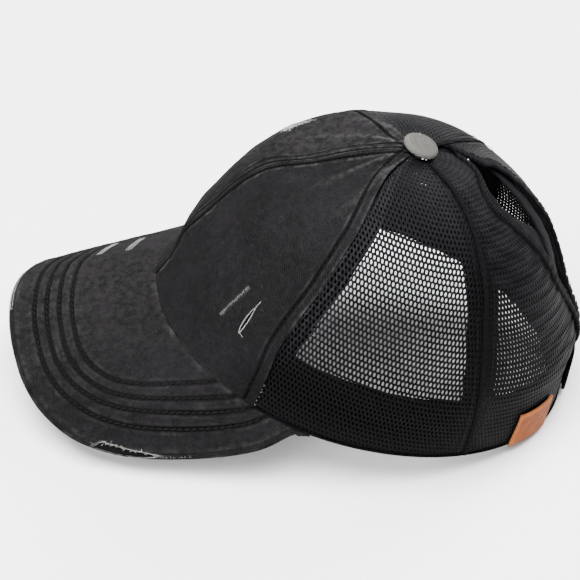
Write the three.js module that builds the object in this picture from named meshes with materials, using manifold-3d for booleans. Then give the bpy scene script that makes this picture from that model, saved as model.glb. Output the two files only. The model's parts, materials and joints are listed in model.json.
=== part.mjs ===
// Ponytail baseball cap, millimetres, +Z up. The wearer faces -X, the wearer's left is -Y.
// The cap is worked out in its own frame, with the rim in the plane z = 0, and then tilted
// to the way it rests on a table: on the two side edges of the visor and the back of the rim.
import * as THREE from 'three';
import { mergeVertices } from 'three/addons/utils/BufferGeometryUtils.js';
import Module from 'manifold-3d';

const wasm = await Module();
wasm.setup();

// Main sizes of the crown
const CROWN_HALF_LENGTH = 100;
const CROWN_HALF_WIDTH = 89.5;
const CROWN_HEIGHT = 110;
const FRONT_RISE = 5;
const FRONT_RISE_ANGLE = 42;

// Walls and the gaps between touching pieces
const TWILL_WALL = 1.6;
const NET_WALL = 1.2;
const TAPE_WALL = 1.0;
const BAND_WALL = 1.5;
const STRAP_WALL = 1.2;
const SEAM_GAP = 0.35;
const LAYER_GAP = 0.55;

// Visor: cloth over a board, sewn under the front of the rim
const VISOR_LENGTH = 78;
const VISOR_SEAM_ANGLE = 74;
const VISOR_CLOTH_WALL = 1.2;
const VISOR_BOARD_WALL = 1.8;
const VISOR_EDGE_INSET = 1.2;
const VISOR_SEAM_GAP = 0.7;

// Sweatband, seam tapes and label
const BAND_HEIGHT = 31;
const FRONT_TAPE_WIDTH = 15;
const BACK_TAPE_WIDTH = 17;
const LABEL_HEIGHT = 15;
const LABEL_FOLD = 9;
const LABEL_WALL = 1.3;
const LABEL_START_ANGLE = 137;
const LABEL_END_ANGLE = 156;

// Ponytail slit, straps and closure at the back
const SLIT_HALF_OPENING = 18;
const BINDING_WIDTH = 6;
const BINDING_WALL = 2;
const STRAP_WIDTH = 10;
const STRAP_TUCK = 4;
const CLOSURE_WIDTH = 24;
const CLOSURE_HALF_LENGTH = 32;
const CLOSURE_OVERLAP = 0.45;
const CLOSURE_RAISE = 1.3;
const CLOSURE_LIFT = 3;

// Button on the top
const BUTTON_RADIUS = 8.7;
const BUTTON_HEIGHT = 4.4;
const BUTTON_FLAT_RADIUS = 4.6;
const BUTTON_LEAN = 6;
const BUTTON_UNDERSIDE = 0.86;
const BUTTON_STEM_RADIUS = 3.2;
const BUTTON_STEM_LENGTH = 4.5;
const BUTTON_HOLE_SHARE = 0.985;

// Torn places: the hole in the visor's near edge and the slash in the near front panel
const TORN_HOLE = { from: 48.5, to: 58, near: 0.905, far: 0.975 };
const TORN_SLASH = { angle: 45.8, width: 2.6, low: 0.265, high: 0.385 };
const LENS_SPAN = [0.1, 0.9];
const CUT_MARGIN = 1;

// Rows of facets up each panel, the same in all of them so that their seams line up
const PANEL_ROWS = 18;

// Half profiles of the crown from the rim (share 0) to the button (share 1), as shares of
// the half length, the half width and the height
const CROWN_ROWS = [
  { share: 0, frontX: -1, frontZ: 0, sideX: 0.02, sideY: 0.985, sideZ: 0, backX: 1.03, backZ: 0 },
  { share: 0.15, frontX: -0.965, frontZ: 0.15, sideX: 0.04, sideY: 1, sideZ: 0.15, backX: 1.03, backZ: 0.16 },
  { share: 0.3, frontX: -0.93, frontZ: 0.3, sideX: 0.06, sideY: 0.99, sideZ: 0.31, backX: 1, backZ: 0.32 },
  { share: 0.45, frontX: -0.88, frontZ: 0.45, sideX: 0.07, sideY: 0.94, sideZ: 0.47, backX: 0.94, backZ: 0.48 },
  { share: 0.6, frontX: -0.79, frontZ: 0.58, sideX: 0.07, sideY: 0.85, sideZ: 0.62, backX: 0.85, backZ: 0.63 },
  { share: 0.72, frontX: -0.65, frontZ: 0.705, sideX: 0.06, sideY: 0.73, sideZ: 0.745, backX: 0.72, backZ: 0.76 },
  { share: 0.83, frontX: -0.47, frontZ: 0.815, sideX: 0.05, sideY: 0.55, sideZ: 0.865, backX: 0.54, backZ: 0.88 },
  { share: 0.92, frontX: -0.26, frontZ: 0.92, sideX: 0.02, sideY: 0.31, sideZ: 0.955, backX: 0.3, backZ: 0.965 },
  { share: 0.97, frontX: -0.11, frontZ: 0.973, sideX: 0, sideY: 0.125, sideZ: 0.982, backX: 0.095, backZ: 0.984 },
  { share: 1, frontX: -0.015, frontZ: 0.99, sideX: -0.015, sideY: 0, sideZ: 0.99, backX: -0.015, backZ: 0.99 },
];

// Seams between the panels, in degrees round the crown from the front centre
const SEAM_ROWS = [
  { share: 0.0, netSeam: 66.0, backSeam: 117 },
  { share: 0.3, netSeam: 60.3, backSeam: 114 },
  { share: 0.6, netSeam: 57.4, backSeam: 113 },
  { share: 1.0, netSeam: 58.0, backSeam: 118 },
];

// Visor edge, measured from the rim at the same angle: forward, outward and down as shares
// of the visor's length
const VISOR_ROWS = [
  { angle: 0, forward: 0.820, outward: 0.000, down: 0.570 },
  { angle: 10, forward: 0.808, outward: 0.020, down: 0.574 },
  { angle: 20, forward: 0.780, outward: 0.034, down: 0.584 },
  { angle: 30, forward: 0.766, outward: 0.048, down: 0.610 },
  { angle: 40, forward: 0.715, outward: 0.046, down: 0.662 },
  { angle: 48, forward: 0.600, outward: 0.034, down: 0.718 },
  { angle: 55, forward: 0.425, outward: 0.000, down: 0.692 },
  { angle: 61, forward: 0.180, outward: -0.014, down: 0.505 },
  { angle: 67, forward: 0.020, outward: -0.020, down: 0.275 },
  { angle: 74, forward: -0.025, outward: -0.012, down: 0.080 },
];

// Slit at the back: half opening as a share of SLIT_HALF_OPENING, width of the binding as a
// share of BINDING_WIDTH, and how far the binding stands out as a share of CLOSURE_LIFT
const SLIT_ROWS = [
  { share: 0.00, open: 0.06, band: 1.0, lift: 0.0 },
  { share: 0.22, open: 0.06, band: 1.0, lift: 0.2 },
  { share: 0.30, open: 0.14, band: 1.0, lift: 1.0 },
  { share: 0.37, open: 0.42, band: 1.0, lift: 0.7 },
  { share: 0.48, open: 0.82, band: 1.0, lift: 0.1 },
  { share: 0.62, open: 1.00, band: 1.0, lift: 0.0 },
  { share: 0.76, open: 0.94, band: 1.0, lift: 0.0 },
  { share: 0.84, open: 0.76, band: 1.0, lift: 0.0 },
  { share: 0.91, open: 0.40, band: 0.9, lift: 0.0 },
  { share: 0.96, open: 0.13, band: 0.7, lift: 0.0 },
  { share: 1.00, open: 0.03, band: 0.4, lift: 0.0 },
];

// The two crossing straps: where each meets the binding
const STRAP_TOP_SHARE = 0.86;
const STRAP_LOW_SHARE = 0.55;
const STRAP_CROSS_SLOPE = 0.5;

const COLOURS = {
  twill: { color: 0x3f3d3b, roughness: 0.92, metalness: 0 },
  net: { color: 0x17171a, roughness: 0.8, metalness: 0 },
  tape: { color: 0x141416, roughness: 0.85, metalness: 0 },
  elastic: { color: 0x2a2a2d, roughness: 0.75, metalness: 0 },
  board: { color: 0x0d0d0e, roughness: 0.9, metalness: 0 },
  button: { color: 0x8f9088, roughness: 0.9, metalness: 0 },
  leather: { color: 0xa8663f, roughness: 0.6, metalness: 0 },
};

const rad = THREE.MathUtils.degToRad;

// Value of one column of a table at a key, on a smooth curve through the rows
function column(rows, key, name, at) {
  const keys = rows.map((row) => row[key]);
  const last = rows.length - 1;
  const x = THREE.MathUtils.clamp(at, keys[0], keys[last]);
  let i = 0;
  while (i < last - 1 && x > keys[i + 1]) i += 1;
  const slope = (k) => {
    const a = Math.max(k - 1, 0);
    const b = Math.min(k + 1, last);
    return (rows[b][name] - rows[a][name]) / (keys[b] - keys[a]);
  };
  const h = keys[i + 1] - keys[i];
  const u = (x - keys[i]) / h;
  const rise = 3 * u ** 2 - 2 * u ** 3;
  const values = (1 - rise) * rows[i][name] + rise * rows[i + 1][name];
  const slopes = u * (1 - u) ** 2 * slope(i) - u ** 2 * (1 - u) * slope(i + 1);
  return values + h * slopes;
}

// Outer face of the crown. angle runs from the front (0) over the left (90) to the back (180),
// and the right side has negative angles
function crownPoint(angle, share) {
  const value = (name) => column(CROWN_ROWS, 'share', name, share);
  const c = Math.cos(rad(angle));
  const s = Math.sin(rad(angle));
  const end = c > 0 ? 'front' : 'back';
  const lengthwise = Math.abs(c);
  const x = value('sideX') + (value(`${end}X`) - value('sideX')) * lengthwise;
  const z = value('sideZ') + (value(`${end}Z`) - value('sideZ')) * lengthwise ** 2;
  return new THREE.Vector3(
    CROWN_HALF_LENGTH * x,
    -CROWN_HALF_WIDTH * value('sideY') * s,
    CROWN_HEIGHT * z,
  );
}

// Unit vector pointing out of the crown
function crownNormal(angle, share) {
  const step = 0.002;
  const low = Math.min(share, 1 - 4 * step);
  const round = crownPoint(angle + 0.2, low).sub(crownPoint(angle - 0.2, low));
  const up = crownPoint(angle, low + step).sub(crownPoint(angle, Math.max(low - step, 0)));
  return round.cross(up).normalize();
}

// A point of the crown moved outwards by lift
function crownAt(angle, share, lift) {
  return crownPoint(angle, share).addScaledVector(crownNormal(angle, share), lift);
}

// The angle that lies distance away from another along the crown
function shifted(angle, share, distance) {
  const arc = crownPoint(angle + 0.5, share).distanceTo(crownPoint(angle - 0.5, share));
  return angle + distance / Math.max(arc, 1e-6);
}

// The front of the rim is lifted over the visor: the share where the panels start
function rimShare(angle) {
  const part = Math.min(Math.abs(angle) / FRONT_RISE_ANGLE, 1);
  return (FRONT_RISE / CROWN_HEIGHT) * Math.cos((part * Math.PI) / 2) ** 2;
}

const netSeam = (share) => column(SEAM_ROWS, 'share', 'netSeam', share);
const backSeam = (share) => column(SEAM_ROWS, 'share', 'backSeam', share);
const slitOpen = (share) => SLIT_HALF_OPENING * column(SLIT_ROWS, 'share', 'open', share);
const slitBand = (share) => BINDING_WIDTH * column(SLIT_ROWS, 'share', 'band', share);
const slitLift = (share) => CLOSURE_LIFT * Math.max(column(SLIT_ROWS, 'share', 'lift', share), 0);

// The angle at the back of the crown that lies sideways from its centre line
function backAngle(sideways, share) {
  const half = CROWN_HALF_WIDTH * column(CROWN_ROWS, 'share', 'sideY', share);
  return 180 - THREE.MathUtils.radToDeg(Math.asin(sideways / half));
}

// Closed body between two grids of points, with its faces pointing out
function wall(outer, inner) {
  const rows = outer.length;
  const columns = outer[0].length;
  const points = [...outer.flat(), ...inner.flat()];
  const at = (layer, i, j) => layer * rows * columns + i * columns + j;
  const faces = [];
  const quad = (a, b, c, d) => faces.push(a, b, c, a, c, d);
  for (let i = 0; i < rows - 1; i += 1) {
    for (let j = 0; j < columns - 1; j += 1) {
      quad(at(0, i, j), at(0, i + 1, j), at(0, i + 1, j + 1), at(0, i, j + 1));
      quad(at(1, i, j), at(1, i, j + 1), at(1, i + 1, j + 1), at(1, i + 1, j));
    }
    quad(at(0, i, 0), at(1, i, 0), at(1, i + 1, 0), at(0, i + 1, 0));
    quad(at(0, i, columns - 1), at(0, i + 1, columns - 1), at(1, i + 1, columns - 1), at(1, i, columns - 1));
  }
  for (let j = 0; j < columns - 1; j += 1) {
    quad(at(0, 0, j), at(0, 0, j + 1), at(1, 0, j + 1), at(1, 0, j));
    quad(at(0, rows - 1, j), at(1, rows - 1, j), at(1, rows - 1, j + 1), at(0, rows - 1, j + 1));
  }
  return closedBody(points, faces);
}

// Geometry from points and faces, turned the right way round
function closedBody(points, faces) {
  let volume = 0;
  for (let k = 0; k < faces.length; k += 3) {
    const [a, b, c] = [points[faces[k]], points[faces[k + 1]], points[faces[k + 2]]];
    volume += a.dot(b.clone().cross(c));
  }
  const ordered = volume < 0 ? faces.slice().reverse() : faces;
  const geometry = new THREE.BufferGeometry();
  const places = points.flatMap((p) => p.toArray());
  geometry.setAttribute('position', new THREE.Float32BufferAttribute(places, 3));
  geometry.setIndex(ordered);
  geometry.computeVertexNormals();
  return geometry;
}

// Points of a patch: place(u, v) for u along the rows and v along the columns, both 0 to 1
function grid(rows, columns, place) {
  return Array.from({ length: rows + 1 }, (_, i) => (
    Array.from({ length: columns + 1 }, (__, j) => place(i / rows, j / columns))
  ));
}

// A patch of the crown between two edges given as functions of the share
function crownPatch({ rows, columns, low, high, from, to, outerLift, innerLift }) {
  const spot = (u, v, lift) => {
    const angleAtMiddle = (from(0) + to(0)) / 2;
    const start = low(THREE.MathUtils.lerp(from(0), to(0), v), angleAtMiddle);
    const share = THREE.MathUtils.lerp(start, high, u);
    const angle = THREE.MathUtils.lerp(from(share), to(share), v);
    return crownAt(angle, share, typeof lift === 'function' ? lift(share) : lift);
  };
  return wall(
    grid(rows, columns, (u, v) => spot(u, v, outerLift)),
    grid(rows, columns, (u, v) => spot(u, v, innerLift)),
  );
}

function toSolid(geometry) {
  const bare = geometry.clone();
  bare.deleteAttribute('normal');
  bare.deleteAttribute('uv');
  const merged = mergeVertices(bare, 1e-4);
  return new wasm.Manifold(new wasm.Mesh({
    numProp: 3,
    vertProperties: new Float32Array(merged.attributes.position.array),
    triVerts: new Uint32Array(merged.index.array),
  }));
}

function fromSolid(solid) {
  const mesh = solid.getMesh();
  const geometry = new THREE.BufferGeometry();
  const places = new Float32Array(mesh.vertProperties);
  geometry.setAttribute('position', new THREE.BufferAttribute(places, 3));
  geometry.setIndex(new THREE.BufferAttribute(new Uint32Array(mesh.triVerts), 1));
  geometry.computeVertexNormals();
  return geometry;
}

function cut(geometry, tool) {
  return fromSolid(toSolid(geometry).subtract(toSolid(tool)));
}

// Mirror image of a geometry across the middle plane of the cap
function mirrored(geometry) {
  const copy = geometry.clone().scale(1, -1, 1);
  const index = Array.from(copy.index.array).reverse();
  copy.setIndex(index);
  copy.computeVertexNormals();
  return copy;
}

function piece(name, geometry, look) {
  const mesh = new THREE.Mesh(geometry, new THREE.MeshStandardMaterial(COLOURS[look]));
  mesh.name = name;
  return mesh;
}

// Front panel of twill on the left, from the centre seam to the net seam
function frontPanel() {
  return crownPatch({
    rows: PANEL_ROWS,
    columns: 10,
    low: (angle) => rimShare(angle),
    high: BUTTON_HOLE_SHARE,
    from: (share) => shifted(0, share, SEAM_GAP / 2),
    to: (share) => shifted(netSeam(share), share, -SEAM_GAP / 2),
    outerLift: 0,
    innerLift: -TWILL_WALL,
  });
}

// The slash through the left front panel, as a thin lens that runs up the panel
function slashTool() {
  const half = (u) => (TORN_SLASH.width / 2) * Math.sin(Math.PI * THREE.MathUtils.lerp(...LENS_SPAN, u));
  const spot = (u, v, lift) => {
    const share = THREE.MathUtils.lerp(TORN_SLASH.low, TORN_SLASH.high, u);
    return crownAt(shifted(TORN_SLASH.angle, share, (2 * v - 1) * half(u)), share, lift);
  };
  return wall(
    grid(6, 1, (u, v) => spot(u, v, CUT_MARGIN)),
    grid(6, 1, (u, v) => spot(u, v, -TWILL_WALL - CUT_MARGIN)),
  );
}

function sideNet() {
  return crownPatch({
    rows: PANEL_ROWS,
    columns: 8,
    low: () => 0,
    high: BUTTON_HOLE_SHARE,
    from: (share) => shifted(netSeam(share), share, SEAM_GAP / 2),
    to: (share) => shifted(backSeam(share), share, -SEAM_GAP / 2),
    outerLift: 0,
    innerLift: -NET_WALL,
  });
}

function backNet() {
  return crownPatch({
    rows: PANEL_ROWS,
    columns: 7,
    low: () => 0,
    high: BUTTON_HOLE_SHARE,
    from: (share) => shifted(backSeam(share), share, SEAM_GAP / 2),
    to: (share) => backAngle(slitOpen(share) + slitBand(share) + SEAM_GAP, share),
    outerLift: (share) => slitLift(share) / 3,
    innerLift: (share) => slitLift(share) / 3 - NET_WALL,
  });
}

// Binding that folds over the net's edge along the slit
function slitBinding() {
  return crownPatch({
    rows: PANEL_ROWS,
    columns: 1,
    low: () => 0,
    high: BUTTON_HOLE_SHARE,
    from: (share) => backAngle(slitOpen(share) + slitBand(share), share),
    to: (share) => backAngle(Math.max(slitOpen(share), SEAM_GAP / 2), share),
    outerLift: (share) => (BINDING_WALL - NET_WALL) / 2 + slitLift(share),
    innerLift: (share) => (BINDING_WALL - NET_WALL) / 2 + slitLift(share) - BINDING_WALL,
  });
}

// Tape sewn inside the crown over a seam
function seamTape(seam, width, panelWall) {
  return crownPatch({
    rows: 13,
    columns: 2,
    low: () => (BAND_HEIGHT + 1) / CROWN_HEIGHT,
    high: 0.93,
    from: (share) => shifted(seam(share), share, -width / 2),
    to: (share) => shifted(seam(share), share, width / 2),
    outerLift: -panelWall - LAYER_GAP,
    innerLift: -panelWall - LAYER_GAP - TAPE_WALL,
  });
}

// Sweatband round the inside of the rim, open at the back
function sweatband() {
  const end = backAngle(slitOpen(0) + SEAM_GAP, 0);
  const lift = -TWILL_WALL - LAYER_GAP;
  const spot = (u, v, depth) => {
    const angle = THREE.MathUtils.lerp(-end, end, v);
    return crownAt(angle, rimShare(angle) + (u * BAND_HEIGHT) / CROWN_HEIGHT, depth);
  };
  return wall(
    grid(3, 64, (u, v) => spot(u, v, lift)),
    grid(3, 64, (u, v) => spot(u, v, lift - BAND_WALL)),
  );
}

// Top face of the visor: out is 0 at the rim and 1 at the edge
function visorPoint(angle, out) {
  const value = (name) => VISOR_LENGTH * column(VISOR_ROWS, 'angle', name, Math.abs(angle));
  const rim = crownPoint(angle, rimShare(angle));
  rim.z -= VISOR_SEAM_GAP;
  const side = angle < 0 ? 1 : -1;
  const reach = new THREE.Vector3(-value('forward'), side * value('outward'), -value('down'));
  return rim.addScaledVector(reach, out);
}

function visorAt(angle, out, depth) {
  const far = Math.min(out + 0.02, 1);
  const along = visorPoint(angle, far).sub(visorPoint(angle, far - 0.04));
  const across = visorPoint(angle + 0.25, out).sub(visorPoint(angle - 0.25, out));
  const inward = across.cross(along).normalize();
  return visorPoint(angle, out).addScaledVector(inward, depth);
}

// One layer of the visor between two depths under its top face
function visorLayer(columns, rows, top, bottom, inset) {
  const spot = (u, v, depth) => {
    const angle = THREE.MathUtils.lerp(-VISOR_SEAM_ANGLE, VISOR_SEAM_ANGLE, v);
    const length = visorPoint(angle, 1).distanceTo(visorPoint(angle, 0));
    return visorAt(angle, THREE.MathUtils.lerp(0, 1 - inset / length, u), depth);
  };
  return wall(
    grid(rows, columns, (u, v) => spot(u, v, top)),
    grid(rows, columns, (u, v) => spot(u, v, bottom)),
  );
}

// The torn hole near the edge of the visor's top cloth
function tornTool() {
  const middle = (TORN_HOLE.near + TORN_HOLE.far) / 2;
  const reach = (TORN_HOLE.far - TORN_HOLE.near) / 2;
  const half = (u) => reach * Math.sin(Math.PI * THREE.MathUtils.lerp(...LENS_SPAN, u));
  const spot = (u, v, depth) => {
    const angle = THREE.MathUtils.lerp(TORN_HOLE.from, TORN_HOLE.to, u);
    return visorAt(angle, middle + (2 * v - 1) * half(u), depth);
  };
  return wall(
    grid(6, 1, (u, v) => spot(u, v, -CUT_MARGIN)),
    grid(6, 1, (u, v) => spot(u, v, VISOR_CLOTH_WALL + SEAM_GAP / 2)),
  );
}

// Elastic strap across the slit, from the binding on one side to the other side lower down
function crossStrap(side, level) {
  const reach = (share) => slitOpen(share) + STRAP_TUCK;
  const spread = Math.sqrt(1 - STRAP_CROSS_SLOPE ** 2);
  const spot = (u, v, depth) => {
    const share = THREE.MathUtils.lerp(STRAP_TOP_SHARE, STRAP_LOW_SHARE, u);
    const across = (v - 0.5) * STRAP_WIDTH;
    const at = share + (across * STRAP_CROSS_SLOPE) / CROWN_HEIGHT;
    const middle = THREE.MathUtils.lerp(reach(STRAP_TOP_SHARE), -reach(STRAP_LOW_SHARE), u);
    return crownAt(backAngle(side * (middle - across * spread), at), at, depth);
  };
  const top = -(BINDING_WALL + NET_WALL) / 2 - LAYER_GAP - level * (STRAP_WALL + SEAM_GAP);
  return wall(
    grid(12, 2, (u, v) => spot(u, v, top)),
    grid(12, 2, (u, v) => spot(u, v, top - STRAP_WALL)),
  );
}

// Hook-and-loop closure: one tab outside the slit's lower end and one strip inside it
function closureTab(outerLift, thickness, start, end) {
  const half = CLOSURE_WIDTH / 2 / CROWN_HEIGHT;
  const middle = half + CLOSURE_RAISE / CROWN_HEIGHT;
  const rounded = (v) => Math.min(1, Math.sqrt(Math.min(v, 1 - v) * 6 + 0.25));
  const spot = (u, v, lift) => {
    const sideways = THREE.MathUtils.lerp(start, end, v);
    const share = middle + (2 * u - 1) * half * rounded(v);
    return crownAt(backAngle(sideways, share), share, lift);
  };
  return wall(
    grid(2, 12, (u, v) => spot(u, v, outerLift)),
    grid(2, 12, (u, v) => spot(u, v, outerLift - thickness)),
  );
}

// Leather label folded over the rim: an outer leg, a fold under the rim and an inner leg
function leatherLabel() {
  const inside = -TWILL_WALL - LAYER_GAP - BAND_WALL - LAYER_GAP;
  const heights = LABEL_HEIGHT / CROWN_HEIGHT;
  const fold = LABEL_FOLD / CROWN_HEIGHT;
  const profile = [
    { share: heights, lift: SEAM_GAP + LABEL_WALL, drop: 0 },
    { share: heights / 2, lift: SEAM_GAP + LABEL_WALL, drop: 0 },
    { share: 0, lift: SEAM_GAP + LABEL_WALL, drop: 0 },
    { share: 0, lift: SEAM_GAP + LABEL_WALL * 0.4, drop: SEAM_GAP + LABEL_WALL },
    { share: 0, lift: inside - LABEL_WALL * 0.4, drop: SEAM_GAP + LABEL_WALL },
    { share: 0, lift: inside - LABEL_WALL, drop: 0 },
    { share: fold, lift: inside - LABEL_WALL, drop: 0 },
    { share: fold, lift: inside, drop: 0 },
    { share: 0, lift: inside, drop: SEAM_GAP },
    { share: 0, lift: SEAM_GAP, drop: SEAM_GAP },
    { share: heights / 2, lift: SEAM_GAP, drop: 0 },
    { share: heights, lift: SEAM_GAP, drop: 0 },
  ];
  const steps = 8;
  const rings = Array.from({ length: steps + 1 }, (_, i) => {
    const angle = THREE.MathUtils.lerp(LABEL_START_ANGLE, LABEL_END_ANGLE, i / steps);
    return profile.map(({ share, lift, drop }) => {
      const point = crownAt(angle, share, lift);
      point.z -= drop;
      return point;
    });
  });
  return sweptBody(rings);
}

// Closed body through rings of points, with flat fans over its two ends
function sweptBody(rings) {
  const size = rings[0].length;
  const points = rings.flat();
  const faces = [];
  for (let i = 0; i < rings.length - 1; i += 1) {
    for (let j = 0; j < size; j += 1) {
      const next = (j + 1) % size;
      const [a, b] = [i * size + j, i * size + next];
      faces.push(a, b, b + size, a, b + size, a + size);
    }
  }
  const outline = (ring) => {
    const along = ring[size - 1].clone().sub(ring[0]);
    const up = ring[0].clone().sub(ring[2]).normalize();
    const side = along.addScaledVector(up, -along.dot(up)).normalize();
    return ring.map((p) => {
      const offset = p.clone().sub(ring[0]);
      return new THREE.Vector2(offset.dot(side), offset.dot(up));
    });
  };
  const lastStart = (rings.length - 1) * size;
  for (const [a, b, c] of THREE.ShapeUtils.triangulateShape(outline(rings[0]), [])) {
    faces.push(b, a, c);
  }
  for (const [a, b, c] of THREE.ShapeUtils.triangulateShape(outline(rings[rings.length - 1]), [])) {
    faces.push(lastStart + a, lastStart + b, lastStart + c);
  }
  return closedBody(points, faces);
}

// Cloth-covered button: a low dome with a flat on its top, on a stem through the crown
function button() {
  const profile = [
    new THREE.Vector2(0, -BUTTON_STEM_LENGTH),
    new THREE.Vector2(BUTTON_STEM_RADIUS, -BUTTON_STEM_LENGTH),
    new THREE.Vector2(BUTTON_STEM_RADIUS, 0),
    new THREE.Vector2(BUTTON_RADIUS * BUTTON_UNDERSIDE, 0),
    new THREE.Vector2(BUTTON_RADIUS, BUTTON_HEIGHT * 0.28),
    new THREE.Vector2(BUTTON_RADIUS * 0.97, BUTTON_HEIGHT * 0.58),
    new THREE.Vector2(BUTTON_RADIUS * 0.8, BUTTON_HEIGHT * 0.88),
    new THREE.Vector2(BUTTON_FLAT_RADIUS, BUTTON_HEIGHT),
    new THREE.Vector2(0, BUTTON_HEIGHT),
  ];
  return mergeVertices(new THREE.LatheGeometry(profile, 24).rotateX(Math.PI / 2), 1e-4);
}

// The button leans back and its underside just clears the panels
function placedButton() {
  const mesh = piece('button', button(), 'button');
  const lean = rad(BUTTON_LEAN);
  const axis = new THREE.Vector3(Math.sin(lean), 0, Math.cos(lean));
  const top = crownPoint(0, 1);
  let seat = 0;
  for (let angle = -180; angle < 180; angle += 10) {
    for (let share = 0.9; share <= BUTTON_HOLE_SHARE; share += 0.005) {
      const offset = crownPoint(angle, share).sub(top);
      const height = offset.dot(axis);
      const radius = offset.addScaledVector(axis, -height).length();
      if (radius < BUTTON_RADIUS * BUTTON_UNDERSIDE) seat = Math.max(seat, height);
    }
  }
  mesh.rotation.y = lean;
  mesh.position.copy(top).addScaledVector(axis, seat + SEAM_GAP);
  return mesh;
}

// The tilt at which the side edges of the visor and the back of the rim stand level
function restingTilt() {
  const back = crownPoint(180, 0);
  const underside = 2 * VISOR_CLOTH_WALL + VISOR_BOARD_WALL + 2 * SEAM_GAP;
  const edge = [];
  for (let angle = 0; angle <= VISOR_SEAM_ANGLE; angle += 0.5) {
    edge.push(visorAt(angle, 1, 0), visorAt(angle, 1, underside));
  }
  return Math.max(...edge.map((p) => Math.atan2(back.z - p.z, back.x - p.x)));
}

const cap = new THREE.Group();
const boardTop = VISOR_CLOTH_WALL + SEAM_GAP;
const underTop = boardTop + VISOR_BOARD_WALL + SEAM_GAP;
const underBand = -TWILL_WALL - LAYER_GAP - BAND_WALL - LAYER_GAP;
const overBinding = (BINDING_WALL - NET_WALL) / 2 + SEAM_GAP + STRAP_WALL + CLOSURE_LIFT / 4;
const closureParts = {
  closure_tab: closureTab(overBinding, STRAP_WALL, -CLOSURE_HALF_LENGTH, CLOSURE_HALF_LENGTH * CLOSURE_OVERLAP),
  closure_strip: closureTab(underBand, STRAP_WALL, -CLOSURE_HALF_LENGTH, CLOSURE_HALF_LENGTH),
};

cap.add(piece('front_panel_left', cut(frontPanel(), slashTool()), 'twill'));
cap.add(piece('front_panel_right', mirrored(frontPanel()), 'twill'));
for (const [side, place] of [['left', (g) => g], ['right', mirrored]]) {
  cap.add(piece(`side_net_${side}`, place(sideNet()), 'net'));
  cap.add(piece(`back_net_${side}`, place(backNet()), 'net'));
  cap.add(piece(`slit_binding_${side}`, place(slitBinding()), 'tape'));
  cap.add(piece(`front_seam_tape_${side}`, place(seamTape(netSeam, FRONT_TAPE_WIDTH, TWILL_WALL)), 'tape'));
  cap.add(piece(`back_seam_tape_${side}`, place(seamTape(backSeam, BACK_TAPE_WIDTH, NET_WALL)), 'tape'));
}
cap.add(piece('sweatband', sweatband(), 'tape'));
const topCloth = visorLayer(40, 6, 0, VISOR_CLOTH_WALL, 0);
const board = visorLayer(40, 4, boardTop, boardTop + VISOR_BOARD_WALL, VISOR_EDGE_INSET);
const underCloth = visorLayer(40, 4, underTop, underTop + VISOR_CLOTH_WALL, 0);
cap.add(piece('visor_top_cloth', cut(topCloth, tornTool()), 'twill'));
cap.add(piece('visor_board', board, 'board'));
cap.add(piece('visor_under_cloth', underCloth, 'twill'));
cap.add(piece('cross_strap_upper', crossStrap(-1, 0), 'elastic'));
cap.add(piece('cross_strap_lower', crossStrap(1, 1), 'elastic'));
for (const [name, geometry] of Object.entries(closureParts)) cap.add(piece(name, geometry, 'elastic'));
cap.add(piece('leather_label', leatherLabel(), 'leather'));
cap.add(placedButton());

const tilt = restingTilt();
cap.rotation.y = tilt;
const object = new THREE.Group();
object.add(cap);

// The part's origin is under the middle of its box, with the table at z = 0
object.updateMatrixWorld(true);
const box = new THREE.Box3().setFromObject(object, true);
const middle = box.getCenter(new THREE.Vector3());
cap.position.set(-middle.x, -middle.y, -box.min.z);

export default object;
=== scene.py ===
"""Dresses the ponytail cap: twill panels, real net, stitches, bindings, straps, label and stage."""
import json
import math
import random

import bmesh
import bpy
import numpy as np
from bpy.props import FloatProperty, FloatVectorProperty, PointerProperty
from bpy.types import Operator, Panel, PropertyGroup
from mathutils import Matrix, Vector


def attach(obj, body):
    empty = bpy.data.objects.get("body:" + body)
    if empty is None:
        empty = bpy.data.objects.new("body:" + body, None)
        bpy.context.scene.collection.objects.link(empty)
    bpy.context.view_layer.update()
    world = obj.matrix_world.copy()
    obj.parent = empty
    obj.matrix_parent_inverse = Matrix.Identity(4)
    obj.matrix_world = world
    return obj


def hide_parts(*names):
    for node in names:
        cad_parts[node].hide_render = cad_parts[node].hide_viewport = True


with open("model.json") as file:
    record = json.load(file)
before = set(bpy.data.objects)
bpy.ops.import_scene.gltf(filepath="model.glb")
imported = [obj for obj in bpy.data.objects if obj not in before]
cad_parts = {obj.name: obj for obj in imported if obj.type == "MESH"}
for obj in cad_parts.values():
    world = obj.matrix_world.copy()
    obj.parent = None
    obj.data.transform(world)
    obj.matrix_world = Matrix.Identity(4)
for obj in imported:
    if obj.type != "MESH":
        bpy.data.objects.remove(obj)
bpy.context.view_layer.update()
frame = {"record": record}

bl_info = {
    "name": "Ponytail Cap",
    "version": (1, 0, 0),
    "blender": (4, 5, 0),
    "location": "View3D > Sidebar > Cap",
    "description": "Makes the cloth, net, stitches and trim of a ponytail cap over its packed frame",
    "category": "Object",
}

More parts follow.
